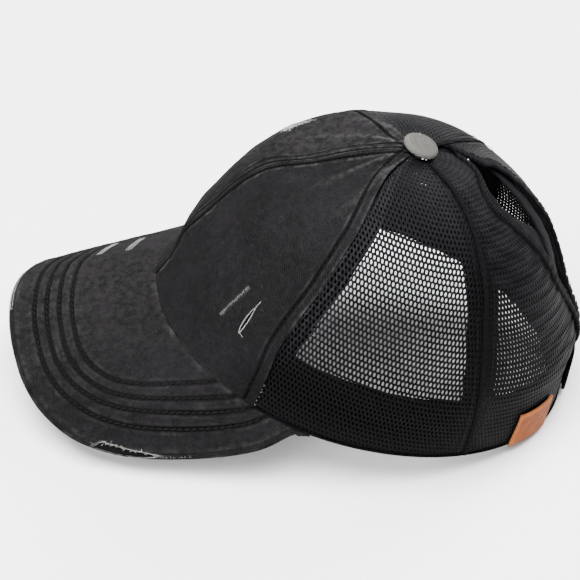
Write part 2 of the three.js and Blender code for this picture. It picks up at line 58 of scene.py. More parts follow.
# Main sizes of the cap in millimetres: those of its source, with the rim, the visor and the label
# fitted to the photographed cap
CROWN_HALF_LENGTH = 100
CROWN_HALF_WIDTH = 89.5
CROWN_HEIGHT = 110
FRONT_RISE = 0.2
FRONT_RISE_ANGLE = 42
FAR_RIM_LIFT = 4.0
TWILL_WALL = 1.6
NET_WALL = 1.2
TAPE_WALL = 1.0
BAND_WALL = 1.5
STRAP_WALL = 1.2
COVER_WALL = 0.8
RIDGE_WALL = 0.7
HEM_WALL = 0.5
LINING_WALL = 0.35
SEAM_GAP = 0.35
LAYER_GAP = 0.55
VISOR_LENGTH = 77.5
VISOR_SEAM_ANGLE = 80
VISOR_CLOTH_WALL = 1.2
VISOR_BOARD_WALL = 1.8
VISOR_SEAM_GAP = 0.7
BAND_HEIGHT = 31
FRONT_TAPE_WIDTH = 15
BACK_TAPE_WIDTH = 17
LABEL_HEIGHT = 17.5
LABEL_FOLD = 9
LABEL_WALL = 1.3
LABEL_START_ANGLE = 139.3
LABEL_END_ANGLE = 156
SLIT_HALF_OPENING = 18
BINDING_WIDTH = 6
BINDING_WALL = 2
STRAP_WIDTH = 10
STRAP_TUCK = 4
CLOSURE_WIDTH = 24
CLOSURE_HALF_LENGTH = 32
CLOSURE_OVERLAP = 0.45
CLOSURE_RAISE = 1.3
CLOSURE_LIFT = 3
BUTTON_RADIUS = 8.7
BUTTON_HEIGHT = 4.4
BUTTON_FLAT_RADIUS = 4.6
PANEL_TOP_SHARE = 0.985
STRAP_TOP_SHARE = 0.86
STRAP_LOW_SHARE = 0.55
STRAP_CROSS_SLOPE = 0.5
VISOR_THICKNESS = 2 * VISOR_CLOTH_WALL + VISOR_BOARD_WALL + 2 * SEAM_GAP


def table_rows(names, *rows):
    """A table whose rows each have a value under every name."""
    return [dict(zip(names.split(), row)) for row in rows]


# Half profiles of the crown from the rim to the button: the source's, settled like worn cloth
CROWN_ROWS = table_rows(
    "share frontX frontZ sideX sideY sideZ backX backZ",
    (0, -1.003, 0.019, -0.011, 0.988, -0.018, 1.054, 0.008),
    (0.15, -0.955, 0.147, 0.04, 0.999, 0.15, 1.034, 0.163),
    (0.3, -0.925, 0.298, 0.063, 0.99, 0.31, 1.006, 0.316),
    (0.45, -0.861, 0.435, 0.07, 0.935, 0.469, 0.925, 0.47),
    (0.6, -0.781, 0.573, 0.069, 0.847, 0.62, 0.824, 0.631),
    (0.72, -0.661, 0.72, 0.062, 0.746, 0.755, 0.714, 0.755),
    (0.83, -0.464, 0.806, 0.055, 0.554, 0.876, 0.525, 0.876),
    (0.92, -0.26, 0.914, 0.017, 0.309, 0.957, 0.3, 0.966),
    (0.97, -0.11, 0.973, 0, 0.125, 0.982, 0.095, 0.984),
    (1, -0.015, 0.99, -0.015, 0, 0.99, -0.015, 0.99),
)
SEAM_ROWS = table_rows(
    "share netSeam backSeam",
    (0, 63.8, 124),
    (0.15, 61.6, 122),
    (0.3, 60.4, 120.5),
    (0.45, 61.1, 120.3),
    (0.6, 62.8, 120.5),
    (0.76, 62.2, 122),
    (0.86, 58, 124.5),
    (0.93, 53, 127),
    (1, 46, 131),
)
VISOR_ROWS = table_rows(
    "angle forward outward down",
    (0, 0.830, 0.000, 0.479),
    (10, 0.822, 0.040, 0.513),
    (20, 0.805, 0.072, 0.562),
    (30, 0.782, 0.103, 0.617),
    (40, 0.728, 0.144, 0.638),
    (48, 0.616, 0.187, 0.619),
    (55, 0.433, 0.167, 0.563),
    (61, 0.166, 0.143, 0.402),
    (67, -0.023, 0.107, 0.211),
    (74, -0.062, 0.034, 0.027),
    (80, -0.025, 0.004, 0.012),
)
SLIT_ROWS = table_rows(
    "share open band lift aside",
    (0, 0.06, 1, 0, 0),
    (0.22, 0.06, 1, 0.2, 0),
    (0.3, 0.05, 1, 1, 0),
    (0.37, 0.06, 1, 0.8, 0),
    (0.44, 0.16, 1, 0.3, 0),
    (0.5, 0.36, 1, 0, 0),
    (0.58, 0.72, 1, 0, 0),
    (0.66, 0.86, 1, 0, 0),
    (0.76, 0.87, 1, 0, 0),
    (0.84, 0.89, 1, 0, 0),
    (0.885, 0.72, 1, 0, 0),
    (0.915, 0.34, 0.9, 0, -1),
    (0.935, 0.1, 0.75, 0, -7),
    (0.96, 0.03, 0.5, 0, -9),
    (1, 0.03, 0.4, 0, 0),
)

# Torn and frayed places, by crown angle in degrees and share of the height
SLASH = {"angle": 47.7, "low": 0.258, "high": 0.385, "width": 1.7}
SCUFF = {"low_angle": 39.6, "low": 0.26, "high_angle": 41.7, "high": 0.435}
VISOR_HOLE = {"from": 49.2, "to": 57.2, "half": 4.3, "middle": -0.6}

# Stitch rows on the visor: distance in from its edge, and how much more of it at the sides
VISOR_STITCH_ROWS = ((13.4, 1.6), (19.6, 3.2), (26.0, 3.0), (32.4, 3.8))
SIDE_BEND_ANGLE = 48

# The cap's left is on the side of positive crown angles
SIDE_NAMES = {1: "left", -1: "right"}

# The photographed view: how the camera stands to the resting cap, in degrees and millimetres, and
# where its target falls in the 580 pixel frame
VIEW_ELEVATION = 36.36
VIEW_AZIMUTH = 1.45
VIEW_ROLL = 1.33
VIEW_DISTANCE = 1405.0
VIEW_FOCAL = 2923.0
VIEW_TARGET = (30.0, 0.0, 65.0)
VIEW_TARGET_PIXEL = (356.2, 266.0)
FRAME_PIXELS = 580.0
SENSOR_WIDTH = 36.0

# The lights: name, width, part of the key light's power, and place in metres
LIGHTS = (
    ("overhead", 1.6, 1.0, (-0.25, -0.45, 1.9)),
    ("front_fill", 1.2, 0.25, (-1.3, -1.5, 0.9)),
    ("back_light", 1.0, 0.4, (0.9, 1.3, 1.1)),
)
LIGHT_AIM = (0, 0, 0.05)


def column(rows, key, name, at):
    """Value of one column of a table at a key, on a smooth curve through its rows."""
    keys = np.array([row[key] for row in rows], float)
    values = np.array([row[name] for row in rows], float)
    last = len(keys) - 1
    before = np.maximum(np.arange(last + 1) - 1, 0)
    after = np.minimum(np.arange(last + 1) + 1, last)
    slopes = (values[after] - values[before]) / (keys[after] - keys[before])
    at = np.clip(np.asarray(at, float), keys[0], keys[-1])
    i = np.clip(np.searchsorted(keys, at, side="left") - 1, 0, last - 1)
    h = keys[i + 1] - keys[i]
    u = (at - keys[i]) / h
    rise = 3 * u**2 - 2 * u**3
    level = (1 - rise) * values[i] + rise * values[i + 1]
    return level + h * (u * (1 - u) ** 2 * slopes[i] - u**2 * (1 - u) * slopes[i + 1])


def crown_point(angle, share):
    """Outer face of the crown, in millimetres in the cap's own frame."""
    angle, share = np.broadcast_arrays(np.asarray(angle, float), np.asarray(share, float))
    c = np.cos(np.radians(angle))
    s = np.sin(np.radians(angle))
    parts = {
        name: column(CROWN_ROWS, "share", name, share) for name in CROWN_ROWS[0] if name != "share"
    }
    end_x = np.where(c > 0, parts["frontX"], parts["backX"])
    end_z = np.where(c > 0, parts["frontZ"], parts["backZ"])
    x = parts["sideX"] + (end_x - parts["sideX"]) * np.abs(c)
    z = parts["sideZ"] + (end_z - parts["sideZ"]) * c**2
    round_side = (
        np.clip((-angle - 60) / 35, 0, 1) * np.clip((178 + angle) / 45, 0, 1)
        * np.clip(1 - share / 0.45, 0, 1)
    )
    lifted = FAR_RIM_LIFT * round_side**2 * (3 - 2 * round_side)
    return np.stack(
        [CROWN_HALF_LENGTH * x, -CROWN_HALF_WIDTH * parts["sideY"] * s, CROWN_HEIGHT * z + lifted], -1
    )


def unit(vectors):
    """Each vector at length one."""
    return vectors / np.maximum(np.linalg.norm(vectors, axis=-1, keepdims=True), 1e-12)


def crown_normal(angle, share):
    """Unit vectors out of the crown."""
    step = 0.002
    low = np.minimum(share, 1 - 4 * step)
    around = crown_point(np.asarray(angle) + 0.2, low) - crown_point(np.asarray(angle) - 0.2, low)
    up = crown_point(angle, low + step) - crown_point(angle, np.maximum(low - step, 0))
    return unit(np.cross(around, up))


def crown_at(angle, share, lift):
    """A point of the crown moved out by lift."""
    return crown_point(angle, share) + crown_normal(angle, share) * np.asarray(lift)[..., None]


def degree_arc(angle, share):
    """Millimetres that one degree spans round the crown."""
    ends = crown_point(np.asarray(angle) + 0.5, share) - crown_point(np.asarray(angle) - 0.5, share)
    return np.maximum(np.linalg.norm(ends, axis=-1), 1e-6)


def shifted(angle, share, distance):
    """The angle that lies a distance away from another along the crown."""
    return angle + distance / degree_arc(angle, share)


def rim_share(angle):
    """Share at which the panels start: the front of the rim is lifted over the visor."""
    part = np.minimum(np.abs(angle) / FRONT_RISE_ANGLE, 1)
    return FRONT_RISE / CROWN_HEIGHT * np.cos(part * math.pi / 2) ** 2


def net_seam(share):
    return column(SEAM_ROWS, "share", "netSeam", share)


def back_seam(share):
    return column(SEAM_ROWS, "share", "backSeam", share)


def slit_open(share):
    return SLIT_HALF_OPENING * column(SLIT_ROWS, "share", "open", share)


def slit_band(share):
    return BINDING_WIDTH * column(SLIT_ROWS, "share", "band", share)


def slit_lift(share):
    return CLOSURE_LIFT * np.maximum(column(SLIT_ROWS, "share", "lift", share), 0)


def slit_aside(share):
    return column(SLIT_ROWS, "share", "aside", share)


def back_angle(sideways, share):
    """The angle at the back of the crown that lies sideways from its centre line."""
    half = CROWN_HALF_WIDTH * column(CROWN_ROWS, "share", "sideY", share)
    return 180 - np.degrees(np.arcsin(np.clip(sideways / np.maximum(half, 1e-6), -1, 1)))


def visor_point(angle, out):
    """Top face of the visor: out is 0 at the rim and 1 at the edge."""
    angle, out = np.broadcast_arrays(np.asarray(angle, float), np.asarray(out, float))
    away = np.abs(angle)
    reach = np.stack(
        [
            -column(VISOR_ROWS, "angle", "forward", away),
            np.where(angle < 0, 1, -1) * column(VISOR_ROWS, "angle", "outward", away),
            -column(VISOR_ROWS, "angle", "down", away),
        ],
        -1,
    )
    rim = crown_point(angle, rim_share(angle)) - np.array([0, 0, VISOR_SEAM_GAP])
    return rim + reach * VISOR_LENGTH * out[..., None]


def visor_inward(angle, out):
    """Unit vectors down into the visor."""
    far = np.minimum(np.asarray(out) + 0.02, 1)
    along = visor_point(angle, far) - visor_point(angle, far - 0.04)
    across = visor_point(np.asarray(angle) + 0.25, out) - visor_point(np.asarray(angle) - 0.25, out)
    return unit(np.cross(across, along))


def visor_at(angle, out, depth):
    """A point at a depth under the visor's top face."""
    return visor_point(angle, out) + visor_inward(angle, out) * np.asarray(depth)[..., None]


def visor_length(angle):
    """Millimetres from the rim to the visor's edge."""
    return np.linalg.norm(visor_point(angle, 1.0) - visor_point(angle, 0.0), axis=-1)


def visor_outward(angle):
    """Unit vectors out of the visor's edge."""
    return unit(visor_point(angle, 1.0) - visor_point(angle, 0.9))


# How the cap rests, as its source works it out: the button's axis less its own lean, and the place
# of the cap's own origin in the shared frame
BUTTON_LEAN = 6
BUTTON_AXIS = Vector(frame["record"]["mounts"][0]["axis"]).normalized()
TILT = math.atan2(BUTTON_AXIS.x, BUTTON_AXIS.z) - math.radians(BUTTON_LEAN)
CAP_ORIGIN = np.array([29.28, 0.0, 28.51])


def tilted(points):
    """The cap's own frame turned to the way it rests."""
    points = np.asarray(points, float)
    x = points[..., 0] * math.cos(TILT) + points[..., 2] * math.sin(TILT)
    z = -points[..., 0] * math.sin(TILT) + points[..., 2] * math.cos(TILT)
    return np.stack([x, points[..., 1], z], -1)


def to_frame(points):
    """Millimetres in the cap's own frame to metres in the shared frame."""
    return (tilted(points) + CAP_ORIGIN) / 1000


def turned(vectors):
    """Directions in the cap's own frame to the shared frame."""
    return tilted(vectors)


def bell(distance, width):
    """A smooth bump of height one."""
    return np.exp(-((distance / width) ** 2))


def step_down(distance, edge, soft):
    """One inside the edge and zero outside it, with a soft change."""
    return 1 / (1 + np.exp((distance - edge) / soft))


def crumple(points, size, seed):
    """Low smooth waves over a cloth, about one high, from a few sine waves."""
    wave = np.random.default_rng(seed)
    total = np.zeros(points.shape[:-1])
    for octave in range(5):
        direction = wave.normal(size=3)
        direction *= 2 * math.pi / (size * (0.75 + 0.35 * octave) * np.linalg.norm(direction))
        total += np.sin(points @ direction + wave.uniform(0, 2 * math.pi)) / 2.4
    return total


class Finish:
    """Builds one procedural material, node by node."""

    def __init__(self, name, roughness, sheen=0.0, specular=0.5):
        self.material = bpy.data.materials.new(name)
        self.material.use_nodes = True
        self.tree = self.material.node_tree
        self.shader = self.tree.nodes["Principled BSDF"]
        self.shader.inputs["Roughness"].default_value = roughness
        self.shader.inputs["Sheen Weight"].default_value = sheen
        self.shader.inputs["Sheen Roughness"].default_value = 0.45
        self.shader.inputs["Specular IOR Level"].default_value = specular
        self.where = self.node("ShaderNodeTexCoord")

    def node(self, kind, **settings):
        made = self.tree.nodes.new(kind)
        for name, value in settings.items():
            setattr(made, name, value)
        return made

    def join(self, source, target):
        self.tree.links.new(source, target)

    def fill(self, socket, value):
        if isinstance(value, bpy.types.NodeSocket):
            self.join(value, socket)
        else:
            socket.default_value = value

    def noise(self, scale, detail=4.0, roughness=0.6, place="Object"):
        made = self.node("ShaderNodeTexNoise")
        made.inputs["Scale"].default_value = scale
        made.inputs["Detail"].default_value = detail
        made.inputs["Roughness"].default_value = roughness
        self.join(self.where.outputs[place], made.inputs["Vector"])
        return made.outputs["Fac"]

    def bands(self, scale, direction="DIAGONAL", distortion=0.6, stretch=(1.0, 1.0, 1.0)):
        """Ribs or twill lines on the cloth's own map, which is in millimetres."""
        mapping = self.node("ShaderNodeMapping")
        mapping.inputs["Scale"].default_value = stretch
        self.join(self.where.outputs["UV"], mapping.inputs["Vector"])
        made = self.node("ShaderNodeTexWave", wave_type="BANDS", bands_direction=direction)
        made.inputs["Scale"].default_value = scale
        made.inputs["Distortion"].default_value = distortion
        made.inputs["Detail"].default_value = 2.0
        self.join(mapping.outputs["Vector"], made.inputs["Vector"])
        return made.outputs["Fac"]

    def curve(self, value, low, high, start=0.0, end=1.0):
        made = self.node("ShaderNodeMapRange", interpolation_type="SMOOTHSTEP")
        self.fill(made.inputs["Value"], value)
        made.inputs["From Min"].default_value = low
        made.inputs["From Max"].default_value = high
        made.inputs["To Min"].default_value = start
        made.inputs["To Max"].default_value = end
        return made.outputs["Result"]

    def math(self, operation, a, b=0.0):
        made = self.node("ShaderNodeMath", operation=operation)
        self.fill(made.inputs[0], a)
        self.fill(made.inputs[1], b)
        return made.outputs[0]

    def mix(self, part, a, b, blend="MIX"):
        made = self.node("ShaderNodeMix", data_type="RGBA", blend_type=blend)
        self.fill(made.inputs["Factor"], part)
        self.fill(made.inputs[6], a)
        self.fill(made.inputs[7], b)
        return made.outputs[2]

    def attribute(self, name):
        return self.node("ShaderNodeAttribute", attribute_name=name).outputs["Fac"]

    def colour(self, value):
        self.fill(self.shader.inputs["Base Color"], value)

    def bump(self, height, depth, strength=1.0):
        made = self.node("ShaderNodeBump")
        made.inputs["Strength"].default_value = strength
        made.inputs["Distance"].default_value = depth
        self.join(height, made.inputs["Height"])
        self.join(made.outputs["Normal"], self.shader.inputs["Normal"])


def shade(colour, factor):
    """A colour made lighter or darker."""
    return (*[min(1.0, part * factor) for part in colour[:3]], 1.0)


def twill_finish(name, colour, worn):
    """Washed cotton twill: fine slanting lines and mottled dye; its point mark above zero paints rubbed pale
    places together with painted light, and below zero painted shade.
    """
    finish = Finish(name, 0.92, specular=0.015)
    dye = finish.mix(
        finish.curve(finish.noise(26, 6, 0.62), 0.38, 0.66), shade(colour, 0.62), shade(colour, 1.35)
    )
    lines = finish.bands(0.52, distortion=1.4)
    grain = finish.noise(1500, 2, 0.7)
    slub = finish.noise(420, 3, 0.8)
    woven = finish.mix(finish.curve(lines, 0.1, 0.9, 0.0, 0.5), dye, shade(colour, 2.1))
    grained = finish.mix(finish.curve(grain, 0.4, 0.66, 0.0, 0.7), woven, shade(colour, 0.35))
    flecked = finish.mix(finish.curve(slub, 0.58, 0.85, 0.0, 0.3), grained, worn)
    wear_and_painted_light = finish.attribute("wear_and_painted_light")
    # Above zero the point mark is rubbed paleness together with painted light on the far panel's upper part.
    rubbed = finish.math(
        "MULTIPLY", finish.math("MAXIMUM", wear_and_painted_light, 0.0),
        finish.curve(finish.noise(300, 6, 0.75), 0.36, 0.64, 0.15, 1.1)
    )
    # Below zero the point mark is painted shade: it darkens the stitch grooves and the low cloth beside the
    # net's seam.
    painted_shade = finish.math("MAXIMUM", finish.math("MULTIPLY", wear_and_painted_light, -1.0), 0.0)
    finish.colour(finish.mix(painted_shade, finish.mix(rubbed, flecked, worn), shade(colour, 0.12)))
    relief = finish.math(
        "ADD", finish.math("MULTIPLY", lines, 0.5),
        finish.math("ADD", grain, finish.math("MULTIPLY", slub, 0.6))
    )
    finish.bump(relief, 0.00022, 0.75)
    return finish.material


def net_finish(name, colour):
    """Stiff knitted net: smooth dark yarn with a dull gloss and loops along its strands, with painted light:
    a point mask mixes a darker copy of the yarn's colour, painted shade, into a paler copy, painted
    highlight.
    """
    finish = Finish(name, 0.5, specular=0.02)
    loops = finish.noise(1900, 2, 0.5)
    # Painted shade where the mask is low and painted highlight where it is high.
    dark = finish.mix(finish.curve(loops, 0.35, 0.65), shade(colour, 0.4), shade(colour, 1.4))
    pale = finish.mix(finish.curve(loops, 0.35, 0.65), shade(colour, 4), shade(colour, 16))
    finish.colour(finish.mix(finish.attribute("wear_and_painted_light"), dark, pale))
    finish.bump(loops, 0.00025, 0.8)
    return finish.material


def tape_finish(name, colour, ribs=0.45, direction="X"):
    """Woven tape: fine ribs across it and a little lint."""
    finish = Finish(name, 0.82, specular=0.03)
    weave = finish.bands(ribs, direction=direction, distortion=0.5)
    lint = finish.noise(900, 3, 0.7)
    base = finish.mix(finish.curve(weave, 0.1, 0.9), shade(colour, 0.62), shade(colour, 1.35))
    finish.colour(finish.mix(finish.curve(lint, 0.62, 0.82, 0.0, 0.4), base, shade(colour, 3.2)))
    finish.bump(finish.math("ADD", weave, finish.math("MULTIPLY", lint, 0.5)), 0.00025, 0.7)
    return finish.material


def loop_finish(name, colour):
    """Fuzzy loop fabric of a touch closure."""
    finish = Finish(name, 0.95, sheen=0.01, specular=0.04)
    fuzz = finish.noise(1300, 4, 0.8)
    finish.colour(finish.mix(finish.curve(fuzz, 0.35, 0.7), shade(colour, 0.5), shade(colour, 1.9)))
    finish.bump(fuzz, 0.0006, 0.9)
    return finish.material


def leather_finish(name, colour, worn):
    """Tan leather: fine grain, uneven dye and pale cut edges."""
    finish = Finish(name, 0.6, specular=0.06)
    dye = finish.mix(
        finish.curve(finish.noise(190, 6, 0.6), 0.36, 0.66), shade(colour, 0.72), shade(colour, 1.18)
    )
    grain = finish.node("ShaderNodeTexVoronoi", feature="DISTANCE_TO_EDGE")
    grain.inputs["Scale"].default_value = 1500
    finish.join(finish.where.outputs["Object"], grain.inputs["Vector"])
    creases = finish.curve(grain.outputs["Distance"], 0.0, 0.12)
    grained = finish.mix(finish.curve(creases, 0.0, 1.0, 0.35, 0.0), dye, shade(colour, 0.55))
    rubbed = finish.math(
        "MULTIPLY", finish.attribute("wear_and_painted_light"),
        finish.curve(finish.noise(700, 4, 0.7), 0.3, 0.6, 0.35, 1.0)
    )
    finish.colour(finish.mix(rubbed, grained, worn))
    finish.bump(finish.math("ADD", creases, finish.noise(420, 4, 0.6)), 0.00018, 0.6)
    return finish.material


def button_finish(name, colour, thread):
    """Rubbed cloth over a button: pale threads in two directions over a grey-green ground."""
    finish = Finish(name, 0.9, specular=0.03)
    patches = finish.mix(
        finish.curve(finish.noise(420, 5, 0.7), 0.38, 0.64), shade(colour, 0.68), shade(colour, 1.15)
    )
    lines = finish.bands(0.55, direction="X", distortion=2.2)
    crossed = finish.bands(0.5, direction="Y", distortion=2.2)
    weave = finish.math("MAXIMUM", lines, crossed)
    streaked = finish.mix(finish.curve(weave, 0.72, 1.0, 0.0, 0.55), patches, thread)
    dark = finish.curve(finish.noise(1100, 3, 0.7), 0.55, 0.75, 0.0, 0.45)
    worn = finish.mix(
        finish.attribute("wear_and_painted_light"), finish.mix(dark, streaked, shade(colour, 0.32)), shade(thread, 0.35)
    )
    finish.colour(worn)
    finish.bump(finish.math("ADD", weave, finish.noise(1300, 3, 0.6)), 0.00025, 0.8)
    return finish.material


def thread_finish(name, colour, contrast=0.4):
    """Sewing thread or frayed yarn."""
    finish = Finish(name, 0.75, specular=0.08)
    twist = finish.noise(2400, 2, 0.6)
    finish.colour(
        finish.mix(
            finish.curve(twist, 0.35, 0.65), shade(colour, 1 - contrast), shade(colour, 1 + contrast)
        )
    )
    finish.bump(twist, 0.00012, 0.6)
    return finish.material


def board_finish(name, colour):
    """The visor's stiff board, seen only through the torn place."""
    finish = Finish(name, 0.7, specular=0.05)
    fibres = finish.noise(500, 4, 0.6)
    finish.colour(finish.mix(fibres, shade(colour, 0.7), shade(colour, 1.3)))
    finish.bump(fibres, 0.0002, 0.5)
    return finish.material


def floor_finish(name, colour):
    """Plain pale table."""
    finish = Finish(name, 0.65, specular=0.2)
    finish.colour(finish.mix(finish.noise(3, 2, 0.4), shade(colour, 0.995), colour))
    return finish.material


def add_piece(name, mesh, material, replaced=()):
    """Puts a finished mesh on the cap's body."""
    mesh.materials.clear()
    mesh.materials.append(material)
    mesh.shade_smooth()
    piece = bpy.data.objects.new(name, mesh)
    bpy.context.scene.collection.objects.link(piece)
    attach(piece, "root")
    if replaced:
        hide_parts(*replaced)
    return piece


def thicken(piece, wall):
    """Gives a cloth its wall, inwards from its outer face."""
    solid = piece.modifiers.new("wall", "SOLIDIFY")
    solid.thickness = wall / 1000
    solid.offset = -1
    solid.use_even_offset = False


def soften(piece, levels):
    """Rounds a piece with a subdivision surface."""
    smooth = piece.modifiers.new("soft", "SUBSURF")
    smooth.levels = levels
    smooth.render_levels = levels


def mesh_of(bm, name):
    """Turns an edited shape into a mesh."""
    mesh = bpy.data.meshes.new(name)
    bm.to_mesh(mesh)
    bm.free()
    return mesh


def cloth_grid(name, columns, rows, place, flat, wear_and_painted_light=None, gone=None, outward=None, weld=False):
    """A cloth from a grid: place gives its points and flat its own map, both in millimetres.

    gone marks the points of a torn place, whose faces are taken out. outward gives directions
    that the faces are turned to.
    """
    bm = bmesh.new()
    bmesh.ops.create_grid(bm, x_segments=columns, y_segments=rows, size=0.5)
    bm.verts.ensure_lookup_table()
    ground = np.array([v.co[:2] for v in bm.verts]) + 0.5
    u, v = ground[:, 0], ground[:, 1]
    if gone is not None:
        lost = gone(u, v)
        torn = [f for f in bm.faces if all(lost[corner.index] for corner in f.verts)]
        layer = bm.verts.layers.float.new("u")
        other = bm.verts.layers.float.new("v")
        for vert in bm.verts:
            vert[layer] = u[vert.index]
            vert[other] = v[vert.index]
        bmesh.ops.delete(bm, geom=torn, context="FACES")
        bm.verts.ensure_lookup_table()
        u = np.array([vert[layer] for vert in bm.verts])
        v = np.array([vert[other] for vert in bm.verts])
        bm.verts.layers.float.remove(layer)
        bm.verts.layers.float.remove(bm.verts.layers.float["v"])
    mesh = mesh_of(bm, name)
    mesh.vertices.foreach_set("co", to_frame(place(u, v)).astype(np.float32).ravel())
    corners = np.empty(len(mesh.loops), np.int32)
    mesh.loops.foreach_get("vertex_index", corners)
    layer = mesh.uv_layers.new(name="Cloth")
    layer.uv.foreach_set("vector", np.asarray(flat(u, v), np.float32)[corners].ravel())
    if wear_and_painted_light is not None:
        rubbed = mesh.attributes.new("wear_and_painted_light", "FLOAT", "POINT")
        rubbed.data.foreach_set("value", np.clip(wear_and_painted_light(u, v), -1, 1).astype(np.float32))
    mesh.update()
    if outward is not None:
        turn_faces(mesh, outward)
    if weld:
        weld_mesh(mesh)
    return mesh


def turn_faces(mesh, outward):
    """Turns a mesh over if its faces look against the given direction at their middles."""
    agree = 0.0
    for face in list(mesh.polygons)[:: max(1, len(mesh.polygons) // 200)]:
        agree += face.normal.dot(outward(face.center))
    if agree < 0:
        mesh.flip_normals()


def weld_mesh(mesh, distance=1e-5):
    """Joins the points that meet."""
    bm = bmesh.new()
    bm.from_mesh(mesh)
    bmesh.ops.remove_doubles(bm, verts=bm.verts, dist=distance)
    bm.to_mesh(mesh)
    bm.free()


HEAD_CENTRE = Vector(to_frame(np.array([0.0, 0.0, 35.0])))


def away_from_head(point):
    """Direction from the middle of the head."""
    return (point - HEAD_CENTRE).normalized()


def crowded(part, spots):
    """Spreads a row of parts from 0 to 1 unevenly, with more of them near each spot (place, width, gain)."""
    fine = np.linspace(0, 1, 1500)
    density = 1 + sum(gain * bell(fine - place, width) for place, width, gain in spots)
    total = np.concatenate([[0], np.cumsum((density[1:] + density[:-1]) / 2)])
    return np.interp(part, total / total[-1], fine)


def lens(along):
    """Half width of a torn place along its length, from 0 to 1."""
    return np.sin(np.pi * np.clip(along, 0, 1)) ** 0.6


# Panels of twill

FRONT_COLUMNS = ((0.0, 0.075, 2.6), (1.0, 0.11, 1.8), (0.787, 0.03, 4.5))


def front_place(side):
    """Points of a front panel for u across from the centre seam and v up from the rim."""

    def raw(u, v):
        across = crowded(u, FRONT_COLUMNS)
        start = rim_share(net_seam(np.zeros_like(u)) * across)
        share = start + (PANEL_TOP_SHARE - start) * v
        first = shifted(np.zeros_like(share), share, SEAM_GAP / 4)
        last = shifted(net_seam(share), share, -SEAM_GAP / 2)
        return first + (last - first) * across, share

    def spots(u, v):
        angle, share = raw(u, v)
        if side > 0:
            angle, _ = part_slash(angle, share)
        return side * angle, share

    return raw, spots


def along_slash(share):
    """Part of the slash's length that lies below a share."""
    return (share - SLASH["low"]) / (SLASH["high"] - SLASH["low"])


def part_slash(angle, share):
    """Moves points that lie in the slash to its edges, and says which they are."""
    along = along_slash(share)
    half = SLASH["width"] / 2 * lens(along)
    across = (angle - SLASH["angle"]) * degree_arc(angle, share)
    inside = (along > 0) & (along < 1) & (np.abs(across) < half)
    side = np.where(across < 0, -1, 1)
    moved = SLASH["angle"] + side * half / degree_arc(angle, share)
    return np.where(inside, moved, angle), inside


def seam_distances(angle, share):
    """Distances in millimetres from the centre seam and from the net's seam."""
    away = np.abs(angle)
    from_centre = np.linalg.norm(crown_point(away, share) - crown_point(0.0, share), axis=-1)
    from_net = np.linalg.norm(crown_point(net_seam(share), share) - crown_point(away, share), axis=-1)
    return from_centre, from_net


def front_relief(angle, share):
    """How far the front panels' cloth stands out: lapped seams, stitch grooves and soft waves."""
    from_centre, from_net = seam_distances(angle, share)
    points = crown_point(angle, share)
    along = share * 150
    pucker = 0.5 + 0.5 * np.cos(along * 2 * math.pi / 3.1 + 2.0 * np.sin(along / 7))
    ripple = 0.5 + 0.5 * np.cos(along * 2 * math.pi / 9.5 + 1.7 * np.sin(along / 9))
    relief = 0.95 * step_down(from_centre, 4.9, 0.28)
    relief -= (1.1 + 0.45 * pucker) * bell(from_centre - 4.0, 0.55)
    relief -= (0.25 + 0.15 * pucker) * bell(from_centre - 2.3, 0.35)
    relief -= 1.4 * bell(from_centre, 0.5)
    relief += 0.75 * step_down(from_net, 6.9, 0.35)
    relief -= (1.15 + 0.3 * pucker) * bell(from_net - 5.7, 0.6)
    relief += 0.35 * ripple * (bell(from_centre - 7.5, 3.0) + bell(from_net - 10, 3.5))
    relief += 0.75 * crumple(points, 52, 3) * np.clip(share * 4, 0, 1) + 0.26 * crumple(points, 17, 11)
    relief += (
        0.5 * np.clip((share - 0.72) * 5, 0, 1) * np.cos(np.radians(angle) * 15)
        * np.clip(from_centre / 8, 0, 1)
    )
    relief -= 0.5 * bell(share - rim_share(angle), 0.006)
    slash_part = along_slash(share)
    near = np.abs((angle - SLASH["angle"]) * degree_arc(angle, share))
    relief += np.where((angle > 0) & (np.abs(slash_part - 0.5) < 0.5), 0.35 * bell(near - 1.1, 0.7), 0)
    return relief * np.clip((1.0 - share) * 14, 0.0, 1)


